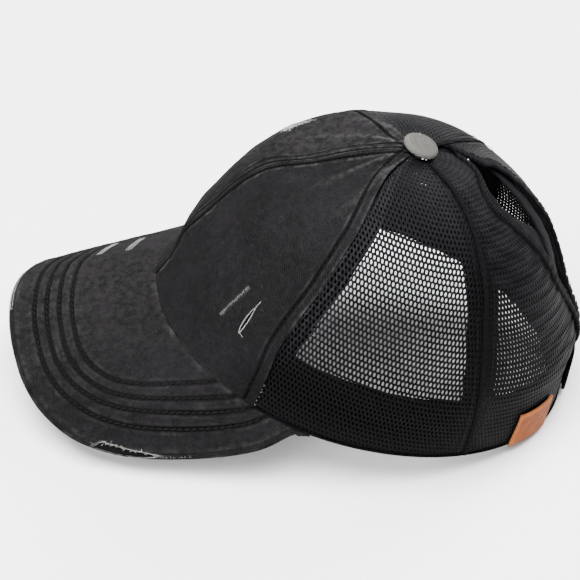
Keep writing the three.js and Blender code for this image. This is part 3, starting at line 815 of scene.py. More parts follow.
def front_wear_and_painted_light(angle, share):
    """Where the twill was rubbed pale: along the seams' edges, the rim and the crest. It also holds painted
    shade in the stitch grooves and low beside the net's seam, and painted light over the far panel's upper
    part.
    """
    from_centre, from_net = seam_distances(angle, share)
    points = crown_point(angle, share)
    patchy = 0.55 + 0.45 * crumple(points, 9, 23)
    seam_edges = (
        0.5 * bell(from_centre - 5.4, 0.7) + 0.45 * bell(from_centre - 1.1, 0.5)
        + 0.25 * bell(from_centre - 3.1, 0.4)
    )
    wear_and_painted_light = seam_edges * patchy
    high = np.clip((share - 0.12) * 3, 0, 1)
    wear_and_painted_light += (
        (0.3 * bell(from_net - 7.3, 0.7) + 0.45 * bell(from_net - 0.6, 0.8) + 0.2 * bell(from_net - 4.2, 0.7))
        * patchy * high
    )
    wear_and_painted_light += 0.05 + 0.3 * bell(share - rim_share(angle), 0.008) * patchy
    # Painted shade: darker low down beside the net's seam.
    wear_and_painted_light -= 0.07 * bell(from_net, 10) * np.clip((0.42 - share) * 5, 0, 1)
    # Painted light: the far panel's upper part paler, and a little all over the top.
    far = np.clip(-angle / 14, 0, 1)
    wear_and_painted_light += 0.15 * far * np.clip((share - 0.3) * 3, 0, 1) + 0.015 * np.clip((share - 0.55) * 3, 0, 1)
    # Painted shade in the stitch grooves.
    wear_and_painted_light -= (
        0.95 * bell(from_centre - 4.0, 0.6) + 0.8 * bell(from_centre, 0.5)
        + 0.85 * bell(from_net - 5.7, 0.65)
    )
    folds = np.clip(np.cos(np.radians(angle) * 15), 0, 1) ** 4 * np.clip((share - 0.78) * 6, 0, 1)
    wear_and_painted_light += 0.4 * folds
    slash_part = along_slash(share)
    near = np.abs((np.abs(angle) - SLASH["angle"]) * degree_arc(angle, share))
    torn = (np.abs(slash_part - 0.55) < 0.62) * bell(near - SLASH["width"] / 2 * lens(slash_part), 0.32)
    scuff_part = (share - SCUFF["low"]) / (SCUFF["high"] - SCUFF["low"])
    scuff_angle = SCUFF["low_angle"] + (SCUFF["high_angle"] - SCUFF["low_angle"]) * scuff_part
    scuffed = (np.abs(scuff_part - 0.5) < 0.5) * bell(
        (np.abs(angle) - scuff_angle) * degree_arc(angle, share), 0.7
    )
    return wear_and_painted_light + np.where(angle > 0, 1.6 * torn + 0.7 * scuffed, 0)


def make_front_panel(side, material):
    """One twill panel at the front, with its share of the centre seam."""
    name = SIDE_NAMES[side]
    raw, spots = front_place(side)

    def place(u, v):
        angle, share = spots(u, v)
        return crown_at(angle, share, front_relief(angle, share))

    def flat(u, v):
        angle, share = spots(u, v)
        return np.stack([side * angle * degree_arc(30.0, share), share * 150], -1)

    def gone(u, v):
        return part_slash(*raw(u, v))[1]

    mesh = cloth_grid(
        f"twill_front_{name}", 118, 150, place, flat,
        wear_and_painted_light=lambda u, v: front_wear_and_painted_light(*spots(u, v)),
        gone=gone if side > 0 else None,
        outward=away_from_head,
    )
    piece = add_piece(f"twill_front_{name}", mesh, material, [f"front_panel_{name}"])
    thicken(piece, TWILL_WALL)
    return piece


# Net

def arc_table(start, end, levels=70, steps=48):
    """Angles at even distances across a panel for a row of shares, with the panel's widths and heights."""
    shares = np.linspace(0, PANEL_TOP_SHARE, levels)
    angles = start(shares)[:, None] + (end(shares) - start(shares))[:, None] * np.linspace(0, 1, steps)
    spots = crown_point(angles, shares[:, None])
    pieces = np.linalg.norm(np.diff(spots, axis=1), axis=-1)
    along = np.concatenate([np.zeros((levels, 1)), np.cumsum(pieces, axis=1)], axis=1)
    even = np.array(
        [np.interp(np.linspace(0, line[-1], steps), line, row) for line, row in zip(along, angles)]
    )
    middle = crown_point(even[:, steps // 2], shares)
    heights = np.concatenate([[0], np.cumsum(np.linalg.norm(np.diff(middle, axis=0), axis=-1))])
    return {"shares": shares, "angles": even, "widths": along[:, -1], "heights": heights}


def net_spot(table, sideways, height):
    """Angle, share and part across of flat points of a net."""
    share = np.interp(height, table["heights"], table["shares"])
    width = np.interp(share, table["shares"], table["widths"])
    part = np.clip(0.5 + sideways / width, 0, 1)
    levels, steps = table["angles"].shape
    row = np.clip(share / table["shares"][-1] * (levels - 1), 0, levels - 1.001)
    col = np.clip(part * (steps - 1), 0, steps - 1.001)
    i, j = row.astype(int), col.astype(int)
    a, b = row - i, col - j
    angles = table["angles"]
    low = angles[i, j] * (1 - b) + angles[i, j + 1] * b
    high = angles[i + 1, j] * (1 - b) + angles[i + 1, j + 1] * b
    return low * (1 - a) + high * a, share, part


def repeat_cells(bm, step, count):
    """Copies all that is there along a step until there are at least count of it."""
    made = 1
    while made < count:
        parts = bm.verts[:] + bm.edges[:] + bm.faces[:]
        copies = bmesh.ops.duplicate(bm, geom=parts)["geom"]
        verts = [part for part in copies if isinstance(part, bmesh.types.BMVert)]
        bmesh.ops.translate(bm, vec=Vector(step) * made, verts=verts)
        made *= 2
    return made


def net_lattice(table, across, rise, strand, lean, slope):
    """Flat net: one knitted cell with its oval hole, repeated in staggered rows over the panel.

    lean turns the whole net and slope slants its columns.
    """
    bm = bmesh.new()
    wide, tall = across / math.sqrt(3), rise / 1.5
    bmesh.ops.create_circle(
        bm, cap_ends=True, segments=6, radius=1, matrix=Matrix.Diagonal((wide, tall, 1, 1))
    )
    hole = list(bm.faces)
    bmesh.ops.inset_individual(bm, faces=hole, thickness=strand / 2, use_even_offset=True)
    bmesh.ops.delete(bm, geom=hole, context="FACES")

    def within(vert):
        return math.hypot(vert.co.x / wide, vert.co.y / tall) < 0.97

    bmesh.ops.bisect_edges(
        bm, edges=[edge for edge in bm.edges if all(map(within, edge.verts))], cuts=1
    )
    hole_wide, hole_tall = (across - strand) / 2, (rise * 1.25 - strand * 1.9) / 2
    for vert in filter(within, bm.verts):
        turn = math.atan2(vert.co.y / hole_tall, vert.co.x / hole_wide)
        vert.co = Vector((hole_wide * math.cos(turn), hole_tall * math.sin(turn), 0))
    columns = repeat_cells(bm, (across, 0, 0), table["widths"].max() * 1.1 / across)
    parts = bm.verts[:] + bm.edges[:] + bm.faces[:]
    copies = bmesh.ops.duplicate(bm, geom=parts)["geom"]
    verts = [part for part in copies if isinstance(part, bmesh.types.BMVert)]
    bmesh.ops.translate(bm, vec=(across / 2, rise, 0), verts=verts)
    tallest = table["heights"][-1]
    rows = repeat_cells(bm, (0, 2 * rise, 0), tallest * 1.15 / rise / 2)
    below = 2 * round(0.035 * rows) * rise
    bmesh.ops.translate(bm, vec=(-columns * across / 2, -below, 0), verts=bm.verts)
    shear = Matrix(((1, -slope, 0), (0, 1, 0), (0, 0, 1)))
    bmesh.ops.transform(bm, matrix=(Matrix.Rotation(lean, 3, "Z") @ shear).to_4x4(), verts=bm.verts)
    spare = []
    for face in bm.faces:
        middle = face.calc_center_median()
        width = np.interp(middle.y, table["heights"], table["widths"])
        if abs(middle.x) > width / 2 + 0.25 * across or not 0 < middle.y < tallest:
            spare.append(face)
    bmesh.ops.delete(bm, geom=spare, context="FACES")
    bmesh.ops.remove_doubles(bm, verts=bm.verts, dist=strand * 0.1)
    return bm


def net_lines(ground, lean, slope):
    """Places of a flat net's points along its rows and up its columns."""
    along = ground[:, 0] * math.cos(lean) + ground[:, 1] * math.sin(lean)
    up = ground[:, 1] * math.cos(lean) - ground[:, 0] * math.sin(lean)
    return along + slope * up, up


def tighten(ground, table, across, rise, lean, slope, tight):
    """Draws each hole of a flat net in towards its middle by the part that tight gives there."""
    along, up = net_lines(ground, lean, slope)
    row = np.round(up / rise)
    half = np.mod(row, 2) / 2
    off_along = along - (np.round(along / across - half) + half) * across
    off_up = up - row * rise
    in_hole = np.hypot(off_along / (across / math.sqrt(3)), off_up / (rise / 1.5)) < 0.9
    angle, share, part = net_spot(table, ground[:, 0], np.clip(ground[:, 1], 0, table["heights"][-1]))
    pull = np.where(in_hole, tight(share, part), 0)
    off_along, off_up = off_along * pull, off_up * pull
    moved = ground.copy()
    moved[:, 0] -= (off_along - slope * off_up) * math.cos(lean) - off_up * math.sin(lean)
    moved[:, 1] -= (off_along - slope * off_up) * math.sin(lean) + off_up * math.cos(lean)
    return moved


def net_ends(share):
    """How far a net's holes close near the rim and near the button."""
    return 0.5 * np.clip((share - 0.87) * 8, 0, 1) + 0.45 * np.clip((0.13 - share) * 9, 0, 1)


def side_net_tight(share, part):
    return np.clip(
        net_ends(share) + 0.45 * bell(part - 1, 0.09) + 0.28 * np.clip((share - 0.74) * 8, 0, 1), 0, 0.8
    )


def back_net_tight(share, part):
    gather = np.clip((part - 0.3) * 1.6, 0, 1)
    return np.clip(
        net_ends(share) + 0.4 * bell(part, 0.12) + 0.4 * gather + 0.3
        + 0.15 * np.clip((share - 0.7) * 6, 0, 1),
        0, 0.85
    )


def side_net_painted_light(share, part):
    """Where a side net's yarn catches the light: over the front seam's tape and towards the top."""
    high = np.clip((share - 0.22) * 4, 0, 1)
    sewn = np.clip((0.17 - part) * 18, 0, 1)
    strands = 0.45 + 0.55 * np.cos(part * 150 + 1.3 * np.sin(share * 60))
    return (
        high * (0.3 * sewn * strands + 0.07 + 0.05 * np.clip((share - 0.4) * 2, 0, 1))
        * np.clip((0.97 - part) * 9, 0.1, 1)
    )


# Painted light on a back net: paler towards the top, in faint streaks.
def back_net_painted_light(share, part):
    high = np.clip((share - 0.25) * 4, 0, 1)
    return high * 0.1 * np.clip((part - 0.05) * 7, 0, 1) * (
        1 + 0.8 * np.sin(share * 95 + part * 6) * np.sin(part * 9)
    )


def make_net(name, start, end, side, lift, tight, pale, sizes, material, replaced):
    """A net panel: the flat net laid on the crown between its two seams."""
    table = arc_table(start, end)
    across, rise, strand = (
        part * 1000 for part in (sizes.net_across, sizes.net_rise, sizes.net_strand)
    )
    lean, slope = -side * math.radians(4), side * 0.091
    bm = net_lattice(table, across, rise, strand, lean, slope)
    mesh = mesh_of(bm, name)
    ground = np.empty(len(mesh.vertices) * 3, np.float32)
    mesh.vertices.foreach_get("co", ground)
    ground = ground.reshape(-1, 3).astype(float)
    ground = tighten(ground, table, across, rise, lean, slope, tight)
    angle, share, part = net_spot(table, ground[:, 0], np.clip(ground[:, 1], 0, table["heights"][-1]))
    wale = knit_wave(ground, across, rise, lean, slope)
    points = crown_at(side * angle, share, lift(share, part) - 0.35 + 0.16 * wale)
    mesh.vertices.foreach_set("co", to_frame(points).astype(np.float32).ravel())
    # The net's painted light mask is stored as a point attribute.
    worn = mesh.attributes.new("wear_and_painted_light", "FLOAT", "POINT")
    worn.data.foreach_set("value", np.clip(pale(share, part), 0, 1).astype(np.float32))
    weld_mesh(mesh, 2e-5)
    mesh.update()
    turn_faces(mesh, away_from_head)
    piece = add_piece(name, mesh, material, replaced)
    thicken(piece, strand * 0.6)
    return piece


def knit_wave(ground, across, rise, lean, slope):
    """One on the strands between two holes of a row and minus one over the holes."""
    along, up = net_lines(ground, lean, slope)
    return -np.cos(along * 4 * math.pi / across) * np.abs(np.cos(up * math.pi / rise))


def under_binding(side):
    """Gives the angle at which a back net ends under the slit's binding, for a share."""

    def end(share):
        sideways = side * slit_aside(share) + slit_open(share) + slit_band(share) * 0.6
        return back_angle(sideways, share)

    return end


def side_net_lift(share, part):
    """Soft waves of a side net, flat where it is sewn down."""
    free = np.clip(np.minimum(part, 1 - part) * 6, 0, 1) * np.clip(share * 6, 0, 1)
    return free * 0.5 * np.sin(share * 21 + part * 4)


def back_net_lift(share, part):
    """A back net, gathered in slanting ridges beside the slit's binding."""
    gather = (
        np.clip((part - 0.25) / 0.6, 0, 1) ** 1.3 * np.clip(share * 7, 0, 1)
        * np.clip((0.90 - share) * 8, 0, 1)
    )
    ridges = (
        0.6 * np.cos(share * 2 * math.pi * 19 - part * 5.0 + 1.5 * np.sin(share * 13 + part * 7))
        + 0.4 * np.cos(share * 2 * math.pi * 31 + part * 9)
    )
    return slit_lift(share) * (0.2 + 0.5 * part) + 0.5 * gather * ridges


# Strips along the crown

def strip(
    name, columns, rows, spots, profile, material, replaced=(), wear_and_painted_light=None, flat_scale=1.0,
    wall=None
):
    """A strip of tape: spots gives angle and share, and profile how far each point stands out."""

    def place(u, v):
        angle, share = spots(u, v)
        return crown_at(angle, share, profile(u, v, share))

    def flat(u, v):
        angle, share = spots(u, v)
        return np.stack([v * flat_scale, u * 10], -1)

    mesh = cloth_grid(name, columns, rows, place, flat, wear_and_painted_light=wear_and_painted_light, outward=away_from_head)
    piece = add_piece(name, mesh, material, replaced)
    if wall:
        thicken(piece, wall)
    return piece


def make_seam_tape(name, seam, width, panel_wall, side, material, replaced):
    """Tape sewn over a seam inside the crown."""
    low = (BAND_HEIGHT - 2) / CROWN_HEIGHT

    def spots(u, v):
        share = low + (0.975 - low) * v
        return side * shifted(seam(share), share, (u - 0.5) * width), share

    def profile(u, v, share):
        edge = np.abs(u - 0.5) * width
        roll = 0.25 * bell(edge - width / 2 + 1.6, 0.6)
        return (
            -panel_wall - LAYER_GAP - 0.2 * np.cos(v * 2 * math.pi * 22) * bell(edge - width / 2, 1.5)
            - roll
        )

    return strip(
        name, 8, 90, spots, profile, material, replaced, flat_scale=120, wall=TAPE_WALL
    )


def make_sweatband(material):
    """Band of tape round the inside of the rim, with a rolled lower edge."""
    end = float(back_angle(slit_open(0.0) + SEAM_GAP, 0.0))

    def spots(u, v):
        angle = -end + 2 * end * v
        return angle, rim_share(angle) + u * BAND_HEIGHT / CROWN_HEIGHT

    def profile(u, v, share):
        waves = 0.35 * np.sin(v * 2 * math.pi * 34) * u + 0.2 * np.sin(v * 2 * math.pi * 59 + 1)
        groove = 0.35 * bell(u - 0.1, 0.02) + 0.35 * bell(u - 0.93, 0.02)
        return -TWILL_WALL - LAYER_GAP - 0.2 - waves * 0.4 - groove

    return strip(
        "sweatband_cloth", 14, 300, spots, profile, material, ["sweatband"], flat_scale=560,
        wall=BAND_WALL
    )


def make_hem(side, material):
    """Hem of tape rolled under the net's lower edge."""
    name = SIDE_NAMES[side]
    start = float(net_seam(0.0))
    end = float(back_angle(slit_open(0.0) + slit_band(0.0) * 0.5, 0.0))

    def spots(u, v):
        turn = np.clip((u - 0.55) / 0.3, 0, 1)
        height = np.where(
            u < 0.55, 4.5 * (1 - u / 0.55),
            np.where(u > 0.85, 0.5 * (u - 0.85) / 0.15, -0.3 * np.sin(turn * math.pi))
        )
        return side * (start + (end - start) * v), height / CROWN_HEIGHT

    def profile(u, v, share):
        turn = np.clip((u - 0.55) / 0.3, 0, 1)
        return -0.7 - 0.45 * np.cos(turn * math.pi) + 0.1 * np.sin(v * 2 * math.pi * 70)

    return strip(f"net_hem_{name}", 14, 130, spots, profile, material, flat_scale=190, wall=HEM_WALL)


def make_binding(side, material):
    """Binding folded over the net's edge along one side of the slit."""
    name = SIDE_NAMES[side]

    def cross(u):
        turn = u * 2 * math.pi
        across = np.sign(np.cos(turn)) * np.abs(np.cos(turn)) ** 0.6
        through = np.sign(np.sin(turn)) * np.abs(np.sin(turn)) ** 0.8
        return across, through

    def place(u, v):
        share = v * 0.95
        across, through = cross(u)
        width = slit_band(share)
        sideways = (
            side * slit_aside(share) + np.maximum(slit_open(share), SEAM_GAP / 2)
            + width * (0.5 + 0.5 * across)
        )
        pucker = 0.22 * np.cos(v * 2 * math.pi * 26 + across)
        lift = slit_lift(share) + BINDING_WALL / 2 * through * (1 + 0.5 * pucker) + pucker * 0.6
        return crown_at(side * back_angle(sideways, share), share, lift - 0.3)

    def flat(u, v):
        return np.stack([v * 180, u * 14], -1)

    mesh = cloth_grid(f"binding_{name}", 20, 260, place, flat, weld=True)
    close_ends(mesh)
    return add_piece(f"binding_{name}", mesh, material, [f"slit_binding_{name}"])


def close_ends(mesh):
    """Closes the open ends of a tube and turns its faces out."""
    bm = bmesh.new()
    bm.from_mesh(mesh)
    rims = [edge for edge in bm.edges if edge.is_boundary]
    bmesh.ops.holes_fill(bm, edges=rims, sides=0)
    bmesh.ops.recalc_face_normals(bm, faces=bm.faces)
    bm.to_mesh(mesh)
    bm.free()


def make_seam_ridge(seam, side, material):
    """Narrow fold of net that stands out where two nets are sewn together."""
    name = SIDE_NAMES[side]

    def spots(u, v):
        share = v * (PANEL_TOP_SHARE - 0.01)
        return side * shifted(seam(share), share, (u - 0.5) * 2.6), share

    def profile(u, v, share):
        return (
            0.05 + 0.3 * np.sin(np.pi * u) + 0.16 * np.cos(v * 2 * math.pi * 52 + 2 * np.sin(v * 37))
            + 0.12 * np.sin(v * 190 + u * 5)
        )

    return strip(f"net_seam_{name}", 8, 260, spots, profile, material, flat_scale=160, wall=RIDGE_WALL)


# Visor

def edge_distance(points):
    """Distance of each point from the visor's edge, in millimetres."""
    edge = visor_point(np.linspace(-VISOR_SEAM_ANGLE, VISOR_SEAM_ANGLE, 300), 1.0)
    nearest = np.full(len(points), np.inf)
    for start in range(0, len(points), 4000):
        block = points[start : start + 4000]
        gaps = np.linalg.norm(block[:, None, :] - edge[None, :, :], axis=-1)
        nearest[start : start + 4000] = gaps.min(axis=1)
    return nearest


def hole_along(angle):
    """Part of the visor's torn place that lies before an angle, from 0 to 1."""
    return np.clip((angle - VISOR_HOLE["from"]) / (VISOR_HOLE["to"] - VISOR_HOLE["from"]), 0, 1)


def hole_half(along):
    """Half height of the visor's torn place at a part of its length."""
    return VISOR_HOLE["half"] * 1.3 * along**0.16 * (1 - along) ** 0.6


def part_hole(angle, arc):
    """Moves points that lie in the visor's torn place to its edges, and says which they are."""
    along = hole_along(angle)
    half = hole_half(along)
    beside = arc - VISOR_HOLE["middle"]
    inside = (along > 0) & (along < 1) & (np.abs(beside) < half)
    return np.where(inside, VISOR_HOLE["middle"] + np.where(beside < 0, -half, half), arc), inside


def stitch_row(row, extra, angle):
    """Distance of a stitch row from the visor's edge, which grows a little round its bend."""
    return row + extra * bell(np.abs(angle) - SIDE_BEND_ANGLE, 13)


def visor_relief(distance, angle):
    """How far the visor's top cloth stands out: padded rows between its stitch grooves."""
    relief = np.zeros_like(distance)
    for row, extra in VISOR_STITCH_ROWS:
        near = distance - stitch_row(row, extra, angle)
        relief += 0.35 * bell(np.abs(near) - 2.4, 1.5)
        relief -= (1.05 + 0.15 * np.cos(angle * 5.3)) * bell(near, 0.85)
    relief -= 0.5 * bell(distance - 2.6, 0.5)
    return relief


VISOR_COLUMNS = 220
VISOR_ROWS_TOP = 98
VISOR_ROWS_EDGE = 10
VISOR_ROWS_UNDER = 12
VISOR_ROUND = VISOR_THICKNESS / 2


def visor_shape(angle):
    """The edge's radius and the straight run before it, in millimetres and as a part of the length."""
    length = visor_length(angle)
    radius = VISOR_ROUND * np.clip((VISOR_SEAM_ANGLE + 1 - np.abs(angle)) / 6, 0.3, 1)
    return length, radius, np.maximum(1 - radius / length, 0.2)


def visor_arc(u, v):
    """Angle and the distance over the cloth from where it starts to turn round the edge."""
    angle = (2 * u - 1) * VISOR_SEAM_ANGLE
    length, radius, straight = visor_shape(angle)
    row = v * (VISOR_ROWS_TOP + VISOR_ROWS_EDGE + VISOR_ROWS_UNDER)
    top = np.clip(row / VISOR_ROWS_TOP, 0, 1)
    bend = np.clip((row - VISOR_ROWS_TOP) / VISOR_ROWS_EDGE, 0, 1)
    under = np.clip((row - VISOR_ROWS_TOP - VISOR_ROWS_EDGE) / VISOR_ROWS_UNDER, 0, 1)
    return (
        angle, (top - 1) * (straight * length + 1.8) + under * straight * length + bend * np.pi * radius
    )


def visor_cover_point(u, v):
    """Points of the cloth that covers the visor."""
    angle, arc = visor_arc(u, v)
    arc, _ = part_hole(angle, arc)
    length, radius, straight = visor_shape(angle)
    turn = np.clip(arc / radius, 0, np.pi)
    beyond = np.where(arc < 0, arc, np.where(arc > np.pi * radius, np.pi * radius - arc, 0))
    out = np.clip(straight + beyond / length, -0.03, 1)
    surface = visor_at(angle, out, radius * (1 - np.cos(turn)))
    outward = visor_outward(angle)
    points = surface + outward * (radius * np.sin(turn))[..., None]
    upper = arc < radius
    relief = visor_relief(edge_distance(points), angle) * upper
    relief += 0.4 * crumple(points, 44, 21) + 0.2 * crumple(points, 15, 5)
    relief *= np.clip(out * 10, 0, 1)
    lip = np.where(np.abs(arc) < VISOR_HOLE["half"] * 1.6, 0.35 * bell(angle - 53, 4.5), 0)
    return (
        points
        - visor_inward(angle, out) * ((relief + lip) * np.where(arc > np.pi * radius / 2, -1, 1))[..., None]
    )


def make_visor_cover(material):
    """Twill over the visor, rounded over its edge, with grooves where it is stitched."""

    def flat(u, v):
        angle, arc = visor_arc(u, v)
        return np.stack([angle * 1.9, arc], -1)

    def wear_and_painted_light(u, v):
        angle, arc = visor_arc(u, v)
        arc, _ = part_hole(angle, arc)
        length, radius, straight = visor_shape(angle)
        out = np.clip(straight + np.minimum(arc, 0) / length, 0, 1)
        points = visor_point(angle, out)
        distance = edge_distance(points)
        patchy = 0.5 + 0.5 * crumple(points, 11, 31)
        turn = arc / radius
        value = (
            0.5 * bell(turn - 1.2, 0.8) * patchy + 0.2 * bell(distance - 4.2, 1.0) * (arc < 0) * patchy
        )
        # The top face a little paler all over, more near the middle and less round the near bend.
        value += (arc < 0) * (0.09 + 0.07 * bell(angle + 4, 26) - 0.03 * bell(angle - 45, 20))
        for row, extra in VISOR_STITCH_ROWS:
            near = np.abs(distance - stitch_row(row, extra, angle))
            # Pale beside each stitch groove is rubbed cloth; dark in the groove is painted shade.
            value += (0.16 * bell(near - 2.1, 0.6) * patchy - 0.55 * bell(near, 0.75)) * (arc < 0)
        value += 0.2 * bell(out, 0.02) * patchy
        front = bell(angle + 4, 10) * bell(turn - 1.5, 1.0)
        hole = (
            bell(np.clip(np.abs(angle - 53.2) - 4.2, 0, 99), 0.6)
            * (np.abs(part_hole(angle, arc)[0] - arc) < 0.01)
        )
        half = hole_half(hole_along(angle))
        rim = hole * bell(np.abs(arc - VISOR_HOLE["middle"]) - half, 0.35)
        outer = bell(angle - 52, 5.5) * bell(turn - 1.7, 0.7)
        return value + 1.2 * front + 1.0 * rim + 0.5 * outer

    def gone(u, v):
        return part_hole(*visor_arc(u, v))[1]

    rows = VISOR_ROWS_TOP + VISOR_ROWS_EDGE + VISOR_ROWS_UNDER
    mesh = cloth_grid("visor_cloth", VISOR_COLUMNS, rows, visor_cover_point, flat, wear_and_painted_light=wear_and_painted_light, gone=gone)
    middle = Vector(to_frame(visor_at(0.0, 0.5, np.array(VISOR_ROUND))))
    up = Vector(turned(-visor_inward(0.0, 0.5)))
    top_face = min(
        mesh.polygons, key=lambda face: (face.center - middle - up * VISOR_ROUND / 1000).length
    )
    if top_face.normal.dot(up) < 0:
        mesh.flip_normals()
    piece = add_piece("visor_cloth", mesh, material, ["visor_top_cloth", "visor_under_cloth"])
    thicken(piece, COVER_WALL)
    return piece


def make_linings(material):
    """Black lining that shows through the torn places of the near panel and the visor's edge."""

    def behind_slash(u, v):
        angle = SLASH["angle"] + (u - 0.5) * 6
        share = SLASH["low"] - 0.03 + (SLASH["high"] - SLASH["low"] + 0.06) * v
        return crown_at(angle, share, np.full_like(share, -1.75))

    def behind_hole(u, v):
        angle = VISOR_HOLE["from"] - 2.5 + (VISOR_HOLE["to"] - VISOR_HOLE["from"] + 5) * u
        length, radius, straight = visor_shape(angle)
        arc = -8.0 + 13.0 * v
        turn = np.clip(arc / radius, 0, np.pi * 0.9)
        surface = visor_at(
            angle, straight + np.minimum(arc, 0) / length, radius - (radius - 1.05) * np.cos(turn)
        )
        outward = visor_outward(angle)
        return surface + outward * ((radius - 1.05) * np.sin(turn))[..., None]

    for name, place in (("slash_lining", behind_slash), ("visor_lining", behind_hole)):
        mesh = cloth_grid(
            name, 24, 30, place, lambda u, v: np.stack([u * 20, v * 20], -1), outward=away_from_head
        )
        thicken(add_piece(name, mesh, material), LINING_WALL)


def make_visor_board(material):
    """The board inside the visor."""

    def place(u, v):
        angle = (2 * u - 1) * (VISOR_SEAM_ANGLE - 4)
        row = v * 2
        top = row <= 1
        inset = 1 - 2.6 / visor_length(angle)
        out = np.where(top, row, 2 - row) * inset
        depth = np.where(
            top, VISOR_CLOTH_WALL + SEAM_GAP, VISOR_CLOTH_WALL + SEAM_GAP + VISOR_BOARD_WALL
        )
        return visor_at(angle, np.maximum(out, 0.02), depth)

    mesh = cloth_grid(
        "visor_core", 90, 41, place, lambda u, v: np.stack([u * 300, v * 150], -1), weld=True
    )
    close_ends(mesh)
    return add_piece("visor_core", mesh, material, ["visor_board"])


# Stitches and frayed threads

def stitch_line(bm, points, normals, length, gap, thickness, sink=0.25, slant=0.0):
    """Lays stitches along a line of points, each a flattened bead of thread."""
    steps = np.linalg.norm(np.diff(points, axis=0), axis=-1)
    along = np.concatenate([[0], np.cumsum(steps)])
    count = int(along[-1] / (length + gap))
    for i in range(count):
        start = i * (length + gap) + gap / 2
        marks = np.array([start, start + length])
        a, b = (np.array([np.interp(m, along, points[:, k]) for k in range(3)]) for m in marks)
        normal = unit(np.array([np.interp(marks.mean(), along, normals[:, k]) for k in range(3)]))
        x = unit(b - a)
        y = unit(np.cross(normal, x))
        x = unit(x + y * slant)
        y = unit(np.cross(normal, x))
        z = np.cross(x, y)
        middle = (a + b) / 2 + z * thickness * (0.5 - sink)
        scale = np.array([np.linalg.norm(b - a) / 2 * 1.08, thickness * 0.62, thickness * 0.5])
        matrix = Matrix(
            [
                [x[0] * scale[0], y[0] * scale[1], z[0] * scale[2], middle[0]],
                [x[1] * scale[0], y[1] * scale[1], z[1] * scale[2], middle[1]],
                [x[2] * scale[0], y[2] * scale[1], z[2] * scale[2], middle[2]],
                [0, 0, 0, 1],
            ]
        )
        bmesh.ops.create_uvsphere(
            bm, u_segments=6, v_segments=6, radius=1,
            matrix=matrix @ Matrix.Rotation(math.pi / 2, 4, "Y")
        )


def crown_line(bm, angles, shares, lifts, length, gap, thickness, sink=0.25):
    """A row of stitches on the crown."""
    points = to_frame(crown_at(angles, shares, lifts)) * 1000
    normals = turned(crown_normal(angles, shares))
    stitch_line(bm, points, normals, length, gap, thickness, sink)


def finish_threads(name, bm, material):
    """Turns laid threads into a piece."""
    bmesh.ops.remove_doubles(bm, verts=bm.verts, dist=0.002)
    bmesh.ops.transform(bm, matrix=Matrix.Scale(0.001, 4), verts=bm.verts)
    bmesh.ops.recalc_face_normals(bm, faces=bm.faces)
    return add_piece(name, mesh_of(bm, name), material)


def visor_row_line(row, extra):
    """Angles and places out along the visor of one stitch row."""
    angles = np.linspace(-VISOR_SEAM_ANGLE + 0.5, VISOR_SEAM_ANGLE - 0.5, 296)
    outs = np.linspace(0.0, 1.0, 160)
    grid = visor_point(angles[:, None], outs[None, :])
    distance = edge_distance(grid.reshape(-1, 3)).reshape(len(angles), len(outs))
    wanted = stitch_row(row, extra, angles)
    found = [
        (angle, np.interp(-far, -line, outs))
        for angle, line, far in zip(angles, distance, wanted)
        if line[0] > far + 0.2
    ]
    return np.array(found)


def make_visor_stitches(sizes, material):
    """Four rows of heavy black thread round the visor."""
    bm = bmesh.new()
    for row, extra in VISOR_STITCH_ROWS:
        found = visor_row_line(row, extra)
        angle, out = found[:, 0], found[:, 1]
        points = to_frame(visor_at(angle, out, np.full(len(angle), 0.75))) * 1000
        normals = turned(-visor_inward(angle, out))
        stitch_line(
            bm, points, normals, sizes.heavy_stitch * 1000, 0.12, sizes.heavy_thread * 1000, sink=0.42,
            slant=0.12
        )
    return finish_threads("visor_stitches", bm, material)


def make_panel_stitches(sizes, material):
    """Stitches along the centre seam and the net's seams of the front panels."""
    bm = bmesh.new()
    length, thickness = sizes.fine_stitch * 1000, sizes.fine_thread * 1000
    share = np.linspace(0.06, 0.95, 160)
    for side in (-1, 1):
        for seam, offset in ((np.zeros_like(share), 4.0), (net_seam(share), -5.7)):
            angle = side * shifted(seam, share, offset)
            crown_line(bm, angle, share, front_relief(angle, share), length, 0.7, thickness)
    return finish_threads("panel_stitches", bm, material)


def make_trim_stitches(sizes, material):
    """Stitches on the bindings and the net's back seams."""
    bm = bmesh.new()
    share = np.linspace(0.02, 0.93, 160)
    for side in (-1, 1):
        angle = side * back_angle(
            side * slit_aside(share) + slit_open(share) + slit_band(share) * 0.82, share
        )
        lift = slit_lift(share) + BINDING_WALL / 2 - 0.42
        crown_line(bm, angle, share, lift, 2.6, 0.8, 0.55)
        for offset in (-4.5, 4.5):
            angle = side * shifted(back_seam(share), share, offset)
            crown_line(bm, angle, share, np.full_like(share, 0.1), 2.4, 0.9, 0.5)
    return finish_threads("trim_stitches", bm, material)


def yarn(bm, points, thickness):
    """One loose thread through a few points: a narrow grid rolled into a tube with pointed ends."""
    points = np.asarray(points, float)
    last = len(points) - 1
    frames = []
    for i, point in enumerate(points):
        ahead = unit(points[min(i + 1, last)] - points[max(i - 1, 0)])
        side = unit(np.cross(ahead, [0.31, 0.52, 0.79]))
        frames.append((point, side, np.cross(ahead, side), 0.0 if i in (0, last) else thickness / 2))
    for vert in bmesh.ops.create_grid(bm, x_segments=last, y_segments=3, size=0.5)["verts"]:
        point, side, up, radius = frames[round((vert.co.x + 0.5) * last)]
        turn = (vert.co.y + 0.5) * 2 * math.pi
        vert.co = point + (side * math.cos(turn) + up * math.sin(turn)) * radius


def run_frame(place, part):
    """Point, way along, way across and way out of the cloth at a part of a line, in millimetres."""
    point, out = place(part)
    ahead, _ = place(part + 0.02)
    along = unit(ahead - point)
    return point, along, unit(np.cross(out, along)), out


